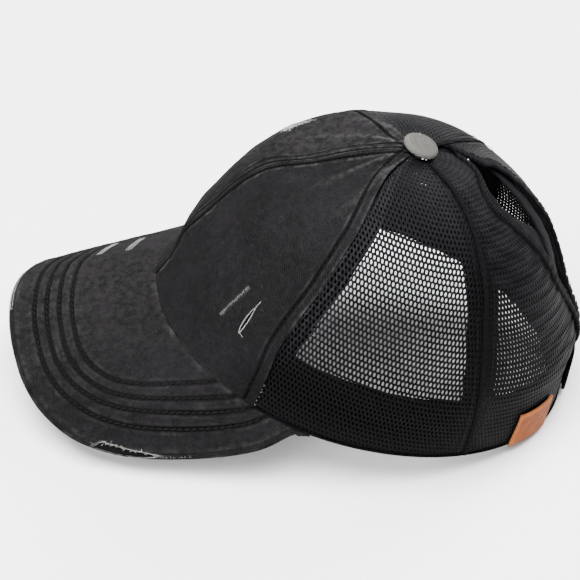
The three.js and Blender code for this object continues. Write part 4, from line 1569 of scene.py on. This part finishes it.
def crown_run(start, end):
    """A line on the front panels between two places given by angle and share."""

    def place(part):
        angle, share = (a + (b - a) * part for a, b in zip(start, end))
        lift = float(front_relief(np.array(float(angle)), np.array(float(share))))
        return (
            to_frame(crown_at(angle, share, np.array(lift))) * 1000, turned(crown_normal(angle, share))
        )

    return lambda part: run_frame(place, part)


def visor_run(start, end, lift=0.25):
    """A line on the visor's top between two places given by angle and the part of the way out."""

    def place(part):
        angle, out = (a + (b - a) * part for a, b in zip(start, end))
        return to_frame(visor_at(angle, out, np.array(-lift))) * 1000, turned(-visor_inward(angle, out))

    return lambda part: run_frame(place, part)


def edge_run(start, end, turn, lift=0.1):
    """A line along the visor's rounded edge, at a turn from its top: 0 is the top and 90 the outside."""

    def place(part):
        angle = start + (end - start) * part
        length, radius, straight = visor_shape(np.array(float(angle)))
        up = -visor_inward(angle, 1.0)
        outward = visor_outward(angle)
        way = up * math.cos(math.radians(turn)) + outward * math.sin(math.radians(turn))
        middle = visor_at(angle, float(straight), np.array(float(radius)))
        return to_frame(middle + way * (float(radius) + lift)) * 1000, unit(turned(way))

    return lambda part: run_frame(place, part)


def hairs(bm, run, count, reach, thickness, seed, side=1, lift=0.25, lean=0.6):
    """Short threads that stand across a line."""
    chance = random.Random(seed)
    for i in range(count):
        part = min(max((i + chance.uniform(-0.5, 0.5)) / max(count - 1, 1), 0), 1)
        point, along, across, out = run(part)
        length = reach * chance.uniform(0.5, 1.2)
        way = unit(across * side + along * chance.uniform(-lean, lean))
        rise = lift * chance.uniform(0.3, 1.3)
        line = [
            point + way * length * t + out * rise * math.sin(math.pi * (0.15 + 0.7 * t))
            for t in (0, 0.5, 1)
        ]
        yarn(bm, line, thickness * chance.uniform(0.7, 1.2))


def long_thread(bm, run, offset, thickness, seed, wave=0.15, steps=16, start=0.0, end=1.0):
    """A loose thread that lies along a line."""
    chance = random.Random(seed)
    line = []
    for i in range(steps + 1):
        point, along, across, out = run(start + (end - start) * i / steps)
        line.append(
            point + across * (offset + chance.uniform(-wave, wave)) + out * chance.uniform(0.05, 0.3)
        )
    yarn(bm, line, thickness)


def curls(bm, run, count, spread, size, thickness, seed):
    """A tangle of loose threads round a line."""
    chance = random.Random(seed)
    for i in range(count):
        point, along, across, out = run(chance.uniform(0, 1))
        point = point + across * chance.gauss(0, spread)
        turn = chance.uniform(0, 2 * math.pi)
        line = []
        for step in range(6):
            line.append(point + out * (0.15 + chance.uniform(0, 0.7)))
            turn += chance.uniform(-1.3, 1.3)
            point = point + (along * math.cos(turn) + across * math.sin(turn)) * size / 5
        yarn(bm, line, thickness * chance.uniform(0.7, 1.1))


def make_frays(sizes, material):
    """Pale threads at the slash, the scuffs and the frayed places of the panels and the visor."""
    bm = bmesh.new()
    thread = sizes.fray_thread * 1000
    low, high, middle, width = SLASH["low"], SLASH["high"], SLASH["angle"], SLASH["width"]

    def slash_edge(side):
        def run(part):
            share = low + (high - low) * part
            half = width / 2 * float(lens(part)) + 0.12
            angle = float(shifted(middle, share, side * half))
            return crown_run((angle, share), (angle, share + 0.06))(0)
        return run

    for side in (-1, 1):
        long_thread(bm, slash_edge(side), 0.0, thread * 1.15, 1 + side, wave=0.1, steps=22)
        hairs(bm, slash_edge(side), 26, 0.5, thread * 0.8, 5 + side, side=side, lift=0.2)
        hairs(bm, slash_edge(side), 16, 0.35, thread * 0.7, 8 + side, side=-side, lift=0.2)
    tail = crown_run((middle, high - 0.004), (middle + 0.3, high + 0.036))
    long_thread(bm, tail, 0.1, thread * 1.2, 11, wave=0.15)
    hairs(bm, tail, 14, 0.5, thread * 0.8, 12)
    hook = crown_run((middle - 0.3, low + 0.003), (middle + 1.8, low - 0.006))
    long_thread(bm, hook, 0.0, thread * 1.3, 13, wave=0.1, steps=8)
    hairs(bm, hook, 10, 0.4, thread * 0.8, 14)
    scuff = crown_run((SCUFF["low_angle"], SCUFF["low"]), (SCUFF["high_angle"], SCUFF["high"]))
    hairs(bm, scuff, 46, 0.85, thread * 0.75, 15, side=1, lift=0.12, lean=0.9)
    hairs(bm, scuff, 34, 0.6, thread * 0.7, 16, side=-1, lift=0.12, lean=0.9)
    curls(bm, crown_run((-25.5, 0.722), (-33.0, 0.712)), 110, 1.3, 3.6, thread, 20)
    curls(bm, crown_run((-30.0, 0.735), (-38.0, 0.745)), 40, 0.5, 3.0, thread * 0.85, 21)
    for start, end, seed in (((-16.8, 0.49), (-28.0, 0.485), 30), ((-15.8, 0.275), (-27.0, 0.286), 34)):
        run = visor_run(start, end)
        for offset in (-1.3, 0.1, 1.4):
            long_thread(bm, run, offset, thread * 1.1, seed + int(offset * 10), wave=0.22, steps=14)
        hairs(bm, run, 10, 1.3, thread * 0.7, seed + 1, side=1, lift=0.2)
        hairs(bm, run, 10, 1.3, thread * 0.7, seed + 2, side=-1, lift=0.2)
    seam_end = crown_run((net_seam(0.02) - 0.2, 0.025), (net_seam(0.13) - 0.2, 0.13))
    hairs(bm, seam_end, 9, 1.1, thread * 0.8, 40, side=-1, lift=0.5)
    return finish_threads("frayed_threads", bm, material)


def make_edge_fray(sizes, material):
    """Pale threads where the visor's edge is worn through."""
    bm = bmesh.new()
    thread = sizes.fray_thread * 1000
    for turn, seed in ((20, 50), (50, 51), (80, 52)):
        hairs(bm, edge_run(-13, 6, turn), 85, 1.3, thread * 0.9, seed, side=1, lift=0.12, lean=0.25)
        long_thread(bm, edge_run(-13, 6, turn + 12), 0.0, thread, seed + 5, wave=0.2, steps=40)
    start, end = VISOR_HOLE["from"], VISOR_HOLE["to"]

    def hole_edge(side):
        def place(part):
            angle = start + (end - start) * min(max(part, 0), 1)
            length, radius, straight = (float(x) for x in visor_shape(np.array(float(angle))))
            share = min(max(part, 0.001), 0.999)
            arc = VISOR_HOLE["middle"] + side * hole_half(share)
            turn = max(arc, 0) / radius
            up, outward = -visor_inward(angle, 1.0), visor_outward(angle)
            way = up * math.cos(turn) + outward * math.sin(turn)
            middle = visor_at(angle, straight + min(arc, 0) / length, np.array(radius))
            return to_frame(middle + way * (radius + 0.35)) * 1000, unit(turned(way))
        return lambda part: run_frame(place, part)

    long_thread(bm, hole_edge(-1), 0.0, thread * 0.9, 60, wave=0.15, steps=40)
    hairs(bm, hole_edge(-1), 40, 0.4, thread * 0.7, 61, side=1, lift=0.15)
    chance = random.Random(64)
    for spot in (0.04, 0.1, 0.36, 0.56, 0.62, 0.72, 0.80, 0.9):
        tuft = hole_edge(-1)
        hairs(
            bm, lambda part, spot=spot: tuft(spot + 0.03 * part), 5, 1.3, thread * 0.8, int(spot * 100),
            side=chance.choice((-1, 1)), lift=0.7, lean=1.6
        )
    hairs(bm, hole_edge(1), 44, 0.4, thread * 0.7, 62, side=-1, lift=0.08)
    long_thread(bm, hole_edge(1), 0.1, thread * 0.9, 63, wave=0.15, steps=40)
    curls(bm, hole_edge(-1), 8, 0.3, 2.4, thread * 0.8, 66)
    hairs(bm, edge_run(end - 1, end + 3, 30), 16, 1.6, thread * 0.8, 65, side=1, lift=0.4, lean=1.0)
    return finish_threads("edge_threads", bm, material)


# Button, label, straps and closure

def button_axis():
    """Middle of the button's flat top and its axis, in the shared frame."""
    mount = frame["record"]["mounts"][0]
    return Vector(mount["pos_m"]), Vector(mount["axis"]).normalized()


def make_button(material):
    """Cloth-covered button: a low dome on a stem, gathered under its edge."""
    face, axis = button_axis()
    bm = bmesh.new()
    r, h = BUTTON_RADIUS, BUTTON_HEIGHT
    profile = [
        (0, h), (2.4, h - 0.02), (BUTTON_FLAT_RADIUS, h - 0.12), (r * 0.72, h * 0.93),
        (r * 0.86, h * 0.78), (r * 0.96, h * 0.55), (r, h * 0.33), (r * 0.97, h * 0.12), (r * 0.86, 0),
        (r * 0.6, -0.05), (3.2, -0.1), (3.2, -4.4), (0, -4.4)
    ]
    verts = [bm.verts.new((x, 0, z)) for x, z in profile]
    edges = [bm.edges.new(pair) for pair in zip(verts, verts[1:])]
    bmesh.ops.spin(
        bm, geom=verts + edges, cent=(0, 0, 0), axis=(0, 0, 1), dvec=(0, 0, 0), angle=2 * math.pi,
        steps=72, use_merge=True
    )
    bmesh.ops.remove_doubles(bm, verts=bm.verts, dist=0.01)
    bmesh.ops.recalc_face_normals(bm, faces=bm.faces)
    for vert in bm.verts:
        turn = math.atan2(vert.co.y, vert.co.x)
        radius = math.hypot(vert.co.x, vert.co.y)
        low = max(0.0, 1 - vert.co.z / h) * (radius > 4)
        gather = 1 + 0.018 * low * math.cos(turn * 19 + 1.3 * math.sin(turn * 3))
        dent = 0.10 * math.sin(turn * 2 + 0.6) * (radius / r) ** 2
        vert.co = Vector((vert.co.x * gather, vert.co.y * gather, vert.co.z + dent * (vert.co.z > 0.1)))
    layer = bm.loops.layers.uv.new("Cloth")
    worn = bm.verts.layers.float.new("wear_and_painted_light")
    for vert in bm.verts:
        radius = math.hypot(vert.co.x, vert.co.y)
        vert[worn] = 0.75 * math.exp(-(((radius - r * 0.9) / 0.9) ** 2)) * (vert.co.z > h * 0.4)
    for f in bm.faces:
        for loop in f.loops:
            loop[layer].uv = (loop.vert.co.x, loop.vert.co.y + 0.4 * loop.vert.co.z)
    mesh = mesh_of(bm, "button_cloth")
    turn = Vector((0, 0, 1)).rotation_difference(axis).to_matrix().to_4x4()
    mesh.transform(
        Matrix.Translation(face) @ turn @ Matrix.Scale(0.001, 4) @ Matrix.Translation((0, 0, -h))
    )
    piece = add_piece("button_cloth", mesh, material, ["button"])
    soften(piece, 1)
    return piece


def make_button_threads(sizes, material):
    """Loose threads beside the button."""
    face, axis = button_axis()
    bm = bmesh.new()
    base = np.array(face) * 1000
    up = np.array(axis)
    across = unit(np.cross(up, [1.0, 0, 0]))
    back = np.cross(across, up)

    def run(part):
        turn = math.radians(60 + 75 * part)
        radial = back * math.cos(turn) * -0.3 + across * math.sin(turn)
        return base - up * 3.2 + radial * BUTTON_RADIUS * 0.9, back, unit(radial), up

    hairs(bm, run, 16, 2.6, sizes.fray_thread * 1000, 60, lift=0.9, lean=0.8)
    return finish_threads("button_threads", bm, material)


def make_label(material):
    """Leather label folded over the rim."""
    inside = -TWILL_WALL - LAYER_GAP - BAND_WALL - LAYER_GAP
    outer = SEAM_GAP + LABEL_WALL
    middle = (outer + inside - LABEL_WALL) / 2
    half = (outer - inside + LABEL_WALL) / 2

    def path(v):
        lengths = (LABEL_HEIGHT, 8.0, LABEL_FOLD)
        total = sum(lengths)
        d = v * total
        down = np.clip(d / lengths[0], 0, 1)
        bend = np.clip((d - lengths[0]) / lengths[1], 0, 1)
        rise = np.clip((d - lengths[0] - lengths[1]) / lengths[2], 0, 1)
        share = np.where(rise > 0, rise * LABEL_FOLD, (1 - down) * LABEL_HEIGHT) / CROWN_HEIGHT
        lift = middle + half * np.cos(bend * np.pi)
        drop = 1.35 * np.sin(bend * np.pi)
        return share, lift, drop

    def place(u, v):
        share, lift, drop = path(v)
        corner = np.abs(2 * u - 1)
        angle = LABEL_START_ANGLE + (LABEL_END_ANGLE - LABEL_START_ANGLE) * u
        bow = 0.35 * np.sin(np.pi * u) * (v < 0.45)
        points = crown_at(angle, share, lift + bow - 0.25 * corner**6)
        return points - np.array([0, 0, 1.0]) * drop[..., None]

    def flat(u, v):
        return np.stack([u * 30, v * 32], -1)

    def wear_and_painted_light(u, v):
        side = np.minimum(u, 1 - u) * 30
        top = v * 32
        return 0.8 * bell(side, 0.9) + 0.75 * bell(top, 0.9) + 0.35 * bell(v - 0.5, 0.06)

    mesh = cloth_grid("label_leather", 48, 56, place, flat, wear_and_painted_light=wear_and_painted_light)
    leg = Vector(to_frame(crown_at(146.0, 0.07, 0.0)))
    face = min(mesh.polygons, key=lambda f: (f.center - leg).length)
    if face.normal.dot(away_from_head(leg)) < 0:
        mesh.flip_normals()
    piece = add_piece("label_leather", mesh, material, ["leather_label"])
    thicken(piece, LABEL_WALL)
    round_edges(piece, 0.3)
    return piece


def round_edges(piece, width):
    """Rounds the sharp edges of a thickened piece."""
    bevel = piece.modifiers.new("edges", "BEVEL")
    bevel.affect = "EDGES"
    bevel.width = width / 1000
    bevel.segments = 2
    bevel.profile = 0.5
    bevel.limit_method = "ANGLE"
    bevel.angle_limit = math.radians(50)
    bevel.material = -1


def make_strap(side, level, name, material, replaced):
    """Elastic strap across the slit, with rolled edges."""
    top_reach = float(slit_open(STRAP_TOP_SHARE)) + STRAP_TUCK
    low_reach = float(slit_open(STRAP_LOW_SHARE)) + STRAP_TUCK
    spread = math.sqrt(1 - STRAP_CROSS_SLOPE**2)
    top = -(BINDING_WALL + NET_WALL) / 2 - LAYER_GAP - level * (STRAP_WALL + SEAM_GAP)

    def place(u, v):
        share = STRAP_TOP_SHARE + (STRAP_LOW_SHARE - STRAP_TOP_SHARE) * v
        across = (u - 0.5) * STRAP_WIDTH
        at = share + across * STRAP_CROSS_SLOPE / CROWN_HEIGHT
        middle = top_reach - (top_reach + low_reach) * v
        lift = top - 0.35 * np.abs(2 * u - 1) ** 3 + 0.12 * np.sin(v * 40)
        return crown_at(back_angle(side * (middle - across * spread), at), at, lift)

    mesh = cloth_grid(
        name, 14, 90, place, lambda u, v: np.stack([u * 10, v * 62], -1), outward=away_from_head
    )
    piece = add_piece(name, mesh, material, replaced)
    thicken(piece, STRAP_WALL)
    round_edges(piece, 0.3)
    return piece


def make_closure(name, lift, start, end, material, replaced):
    """One leaf of the touch closure, with rounded ends."""
    half = CLOSURE_WIDTH / 2 / CROWN_HEIGHT
    middle = half + CLOSURE_RAISE / CROWN_HEIGHT

    def place(u, v):
        sideways = start + (end - start) * v
        rounded = np.minimum(1, np.sqrt(np.minimum(v, 1 - v) * 6 + 0.25))
        share = middle + (2 * u - 1) * half * rounded
        edge = np.minimum(np.minimum(u, 1 - u) * CLOSURE_WIDTH, np.minimum(v, 1 - v) * abs(end - start))
        relief = -0.35 * bell(edge - 2.2, 0.5) - 0.3 * bell(edge, 0.6)
        return crown_at(back_angle(sideways, share), share, lift + relief)

    mesh = cloth_grid(
        name, 26, 56, place, lambda u, v: np.stack([u * 24, v * 60], -1), outward=away_from_head
    )
    piece = add_piece(name, mesh, material, replaced)
    thicken(piece, STRAP_WALL)
    round_edges(piece, 0.25)
    return piece


# Stage

def photographed_camera():
    """Place and directions of the camera that matches the photographed view."""
    rise, swing, roll = (math.radians(part) for part in (VIEW_ELEVATION, VIEW_AZIMUTH, VIEW_ROLL))
    back = np.array(
        [math.cos(rise) * math.sin(swing), -math.cos(rise) * math.cos(swing), math.sin(rise)]
    )
    level = np.array([math.cos(swing), math.sin(swing), 0])
    upright = np.cross(back, level)
    right = level * math.cos(roll) + upright * math.sin(roll)
    up = upright * math.cos(roll) - level * math.sin(roll)
    eye = (np.array(VIEW_TARGET) + VIEW_DISTANCE * back) / 1000
    aside = (FRAME_PIXELS / 2 - VIEW_TARGET_PIXEL[0]) / VIEW_FOCAL
    above = (VIEW_TARGET_PIXEL[1] - FRAME_PIXELS / 2) / VIEW_FOCAL
    forward = unit(-back + right * aside + up * above)
    side = unit(np.cross(forward, up))
    return eye, side, np.cross(side, forward), -forward


def add_light(name, size, power, place):
    """A large soft light aimed at the cap."""
    light = bpy.data.lights.new(name, "AREA")
    light.shape = "SQUARE"
    light.size = size
    light.energy = power
    lamp = bpy.data.objects.new(name, light)
    lamp.location = place
    lamp.rotation_euler = (Vector(LIGHT_AIM) - Vector(place)).to_track_quat("-Z", "Y").to_euler()
    bpy.context.scene.collection.objects.link(lamp)


class CapSizes(PropertyGroup):
    """Sizes of the cap's threads, net and stage."""

    net_across: FloatProperty(
        name="Net pitch", description="Distance between the holes of a row",
        default=0.00202, min=0.001, unit="LENGTH",
    )
    net_rise: FloatProperty(
        name="Net rows", description="Distance between the rows of holes",
        default=0.00267, min=0.001, unit="LENGTH",
    )
    net_strand: FloatProperty(
        name="Net strand", description="Width of the net's strands",
        default=0.00064, min=0.0002, unit="LENGTH",
    )
    heavy_stitch: FloatProperty(
        name="Visor stitch", description="Length of a stitch on the visor",
        default=0.0033, unit="LENGTH",
    )
    heavy_thread: FloatProperty(
        name="Visor thread", description="Thickness of the visor's thread",
        default=0.00105, unit="LENGTH",
    )
    fine_stitch: FloatProperty(
        name="Seam stitch", description="Length of a stitch on the seams",
        default=0.0026, unit="LENGTH",
    )
    fine_thread: FloatProperty(
        name="Seam thread", description="Thickness of the seams' thread",
        default=0.0006, unit="LENGTH",
    )
    fray_thread: FloatProperty(
        name="Frayed thread", description="Thickness of the frayed threads",
        default=0.00024, unit="LENGTH",
    )
    floor_size: FloatProperty(
        name="Floor", description="Width of the pale floor",
        default=9.0, unit="LENGTH",
    )
    sky_strength: FloatProperty(
        name="Sky", description="Strength of the even light from all round",
        default=0.62,
    )
    key_power: FloatProperty(
        name="Key light", description="Power of the large light overhead",
        default=190.0, unit="POWER",
    )


class CapColours(PropertyGroup):
    """Colours of the cap's cloths and threads."""

    twill: FloatVectorProperty(
        name="Twill", description="Washed charcoal of the front and visor",
        subtype="COLOR", size=4, default=(0.0046, 0.0043, 0.0047, 1),
    )
    # Also the colour of the painted light on the far front panel's upper part.
    worn: FloatVectorProperty(
        name="Worn twill", description="Pale colour where the twill is rubbed",
        subtype="COLOR", size=4, default=(0.045, 0.0433, 0.0435, 1),
    )
    net: FloatVectorProperty(
        name="Net", description="Black yarn of the net",
        subtype="COLOR", size=4, default=(0.0021, 0.0021, 0.0024, 1),
    )
    tape: FloatVectorProperty(
        name="Tape", description="Black of the tapes and bindings",
        subtype="COLOR", size=4, default=(0.0022, 0.0022, 0.0026, 1),
    )
    elastic: FloatVectorProperty(
        name="Elastic", description="Grey of the straps",
        subtype="COLOR", size=4, default=(0.0042, 0.0042, 0.005, 1),
    )
    thread: FloatVectorProperty(
        name="Black thread", description="Colour of the stitches",
        subtype="COLOR", size=4, default=(0.0014, 0.0014, 0.0016, 1),
    )
    fray: FloatVectorProperty(
        name="Frayed thread", description="Pale warp threads of torn twill",
        subtype="COLOR", size=4, default=(0.26, 0.255, 0.24, 1),
    )
    leather: FloatVectorProperty(
        name="Leather", description="Tan of the label",
        subtype="COLOR", size=4, default=(0.175, 0.045, 0.010, 1),
    )
    leather_worn: FloatVectorProperty(
        name="Worn leather", description="Pale colour of the label's edges",
        subtype="COLOR", size=4, default=(0.32, 0.11, 0.035, 1),
    )
    button: FloatVectorProperty(
        name="Button", description="Grey-green of the button's cloth",
        subtype="COLOR", size=4, default=(0.0085, 0.0087, 0.0074, 1),
    )
    board: FloatVectorProperty(
        name="Board", description="Black board inside the visor",
        subtype="COLOR", size=4, default=(0.001, 0.001, 0.001, 1),
    )
    floor: FloatVectorProperty(
        name="Floor", description="Pale floor",
        subtype="COLOR", size=4, default=(0.93, 0.93, 0.935, 1),
    )


class CAP_OT_twill_panels(Operator):
    """Makes the two twill panels at the front"""

    bl_idname = "cap.twill_panels"
    bl_label = "Twill panels"

    def execute(self, context):
        colours = context.scene.cap_colours
        twill = twill_finish("washed_twill", colours.twill, colours.worn)
        for side in SIDE_NAMES:
            make_front_panel(side, twill)
        return {"FINISHED"}


class CAP_OT_visor(Operator):
    """Makes the visor's cloth, board and stitches"""

    bl_idname = "cap.visor"
    bl_label = "Visor"

    def execute(self, context):
        colours = context.scene.cap_colours
        sizes = context.scene.cap_sizes
        make_visor_cover(twill_finish("visor_twill", colours.twill, colours.worn))
        board = board_finish("black_board", colours.board)
        make_visor_board(board)
        make_linings(board)
        make_visor_stitches(sizes, thread_finish("heavy_thread", colours.thread))
        return {"FINISHED"}


class CAP_OT_nets(Operator):
    """Makes the four net panels with their real holes"""

    bl_idname = "cap.nets"
    bl_label = "Nets"

    def execute(self, context):
        sizes = context.scene.cap_sizes
        net = net_finish("black_net", context.scene.cap_colours.net)
        for side, name in SIDE_NAMES.items():
            make_net(
                f"net_side_{name}", net_seam, back_seam, side, side_net_lift, side_net_tight,
                side_net_painted_light, sizes, net, [f"side_net_{name}"]
            )
            make_net(
                f"net_back_{name}", back_seam, under_binding(side),
                side, back_net_lift, back_net_tight, back_net_painted_light, sizes, net, [f"back_net_{name}"],
            )
        return {"FINISHED"}


class CAP_OT_trim(Operator):
    """Makes the tapes, the sweatband, the slit's bindings and the seams between the nets"""

    bl_idname = "cap.trim"
    bl_label = "Tapes and bindings"

    def execute(self, context):
        tape = tape_finish("black_tape", context.scene.cap_colours.tape)
        band = tape_finish("black_binding", shade(context.scene.cap_colours.tape, 1.3), ribs=0.3)
        for side, name in SIDE_NAMES.items():
            make_seam_tape(
                f"front_tape_{name}", net_seam, FRONT_TAPE_WIDTH, TWILL_WALL, side, tape,
                [f"front_seam_tape_{name}"]
            )
            make_seam_tape(
                f"back_tape_{name}", back_seam, BACK_TAPE_WIDTH, NET_WALL, side, tape,
                [f"back_seam_tape_{name}"]
            )
            make_binding(side, band)
            make_seam_ridge(back_seam, side, tape)
            make_hem(side, tape)
        make_sweatband(tape)
        return {"FINISHED"}


class CAP_OT_straps(Operator):
    """Makes the crossed elastic straps and the touch closure"""

    bl_idname = "cap.straps"
    bl_label = "Straps and closure"

    def execute(self, context):
        colour = context.scene.cap_colours.elastic
        elastic = tape_finish("grey_elastic", colour, ribs=0.55, direction="X")
        loops = loop_finish("loop_cloth", colour)
        make_strap(-1, 0, "strap_upper", elastic, ["cross_strap_upper"])
        make_strap(1, 1, "strap_lower", elastic, ["cross_strap_lower"])
        under_band = -TWILL_WALL - LAYER_GAP - BAND_WALL - LAYER_GAP
        over_binding = (BINDING_WALL - NET_WALL) / 2 + SEAM_GAP + STRAP_WALL + CLOSURE_LIFT / 4
        make_closure(
            "closure_outer", over_binding, -CLOSURE_HALF_LENGTH, CLOSURE_HALF_LENGTH * CLOSURE_OVERLAP,
            elastic, ["closure_tab"]
        )
        make_closure(
            "closure_inner", under_band, -CLOSURE_HALF_LENGTH, CLOSURE_HALF_LENGTH, loops,
            ["closure_strip"]
        )
        return {"FINISHED"}


class CAP_OT_button_and_label(Operator):
    """Makes the covered button and the blank leather label"""

    bl_idname = "cap.button_and_label"
    bl_label = "Button and label"

    def execute(self, context):
        colours = context.scene.cap_colours
        sizes = context.scene.cap_sizes
        make_button(button_finish("button_cloth", colours.button, colours.fray))
        make_button_threads(sizes, thread_finish("button_thread", colours.fray))
        make_label(leather_finish("tan_leather", colours.leather, colours.leather_worn))
        return {"FINISHED"}


class CAP_OT_stitches_and_frays(Operator):
    """Makes the seams' stitches and the frayed threads"""

    bl_idname = "cap.stitches_and_frays"
    bl_label = "Stitches and frays"

    def execute(self, context):
        colours = context.scene.cap_colours
        sizes = context.scene.cap_sizes
        black = thread_finish("black_thread", colours.thread)
        pale = thread_finish("pale_thread", colours.fray, 0.3)
        make_panel_stitches(sizes, black)
        make_trim_stitches(sizes, black)
        make_frays(sizes, pale)
        make_edge_fray(sizes, pale)
        return {"FINISHED"}


class CAP_OT_stage(Operator):
    """Sets up the pale floor, the soft lights and the photographed view"""

    bl_idname = "cap.stage"
    bl_label = "Stage"

    def execute(self, context):
        scene = context.scene
        sizes = scene.cap_sizes
        bm = bmesh.new()
        bmesh.ops.create_grid(bm, x_segments=1, y_segments=1, size=sizes.floor_size / 2)
        mesh = mesh_of(bm, "pale_floor")
        mesh.materials.append(floor_finish("pale_floor", scene.cap_colours.floor))
        floor = bpy.data.objects.new("pale_floor", mesh)
        scene.collection.objects.link(floor)
        eye, side, up, back = photographed_camera()
        lens_data = bpy.data.cameras.new("photo_view")
        lens_data.sensor_width = SENSOR_WIDTH
        lens_data.lens = SENSOR_WIDTH * VIEW_FOCAL / FRAME_PIXELS
        lens_data.clip_end = 50
        camera = bpy.data.objects.new("photo_view", lens_data)
        camera.matrix_world = Matrix(
            [[side[i], up[i], back[i], eye[i]] for i in range(3)] + [[0, 0, 0, 1]]
        )
        scene.collection.objects.link(camera)
        scene.camera = camera
        for name, size, part, place in LIGHTS:
            add_light(name, size, sizes.key_power * part, place)
        world = bpy.data.worlds.new("studio")
        world.use_nodes = True
        sky = world.node_tree.nodes["Background"]
        sky.inputs["Color"].default_value = (1, 1, 1, 1)
        sky.inputs["Strength"].default_value = sizes.sky_strength
        scene.world = world
        return {"FINISHED"}


class CAP_PT_tools(Panel):
    """Lists the cap's steps"""

    bl_idname = "CAP_PT_tools"
    bl_label = "Ponytail Cap"
    bl_space_type = "VIEW_3D"
    bl_region_type = "UI"
    bl_category = "Cap"

    def draw(self, context):
        for step in STEPS:
            self.layout.operator(step.bl_idname, text=step.bl_label)
        for group in (context.scene.cap_sizes, context.scene.cap_colours):
            for name in group.__annotations__:
                self.layout.prop(group, name)


STEPS = (
    CAP_OT_stage,
    CAP_OT_twill_panels,
    CAP_OT_visor,
    CAP_OT_nets,
    CAP_OT_trim,
    CAP_OT_straps,
    CAP_OT_button_and_label,
    CAP_OT_stitches_and_frays,
)
CLASSES = (CapSizes, CapColours, *STEPS, CAP_PT_tools)


def register():
    for item in CLASSES:
        bpy.utils.register_class(item)
    bpy.types.Scene.cap_sizes = PointerProperty(type=CapSizes)
    bpy.types.Scene.cap_colours = PointerProperty(type=CapColours)


def unregister():
    del bpy.types.Scene.cap_colours
    del bpy.types.Scene.cap_sizes
    for item in reversed(CLASSES):
        bpy.utils.unregister_class(item)


def main():
    register()
    for step in STEPS:
        group, name = step.bl_idname.split(".")
        getattr(getattr(bpy.ops, group), name)()


if __name__ == "__main__":
    main()
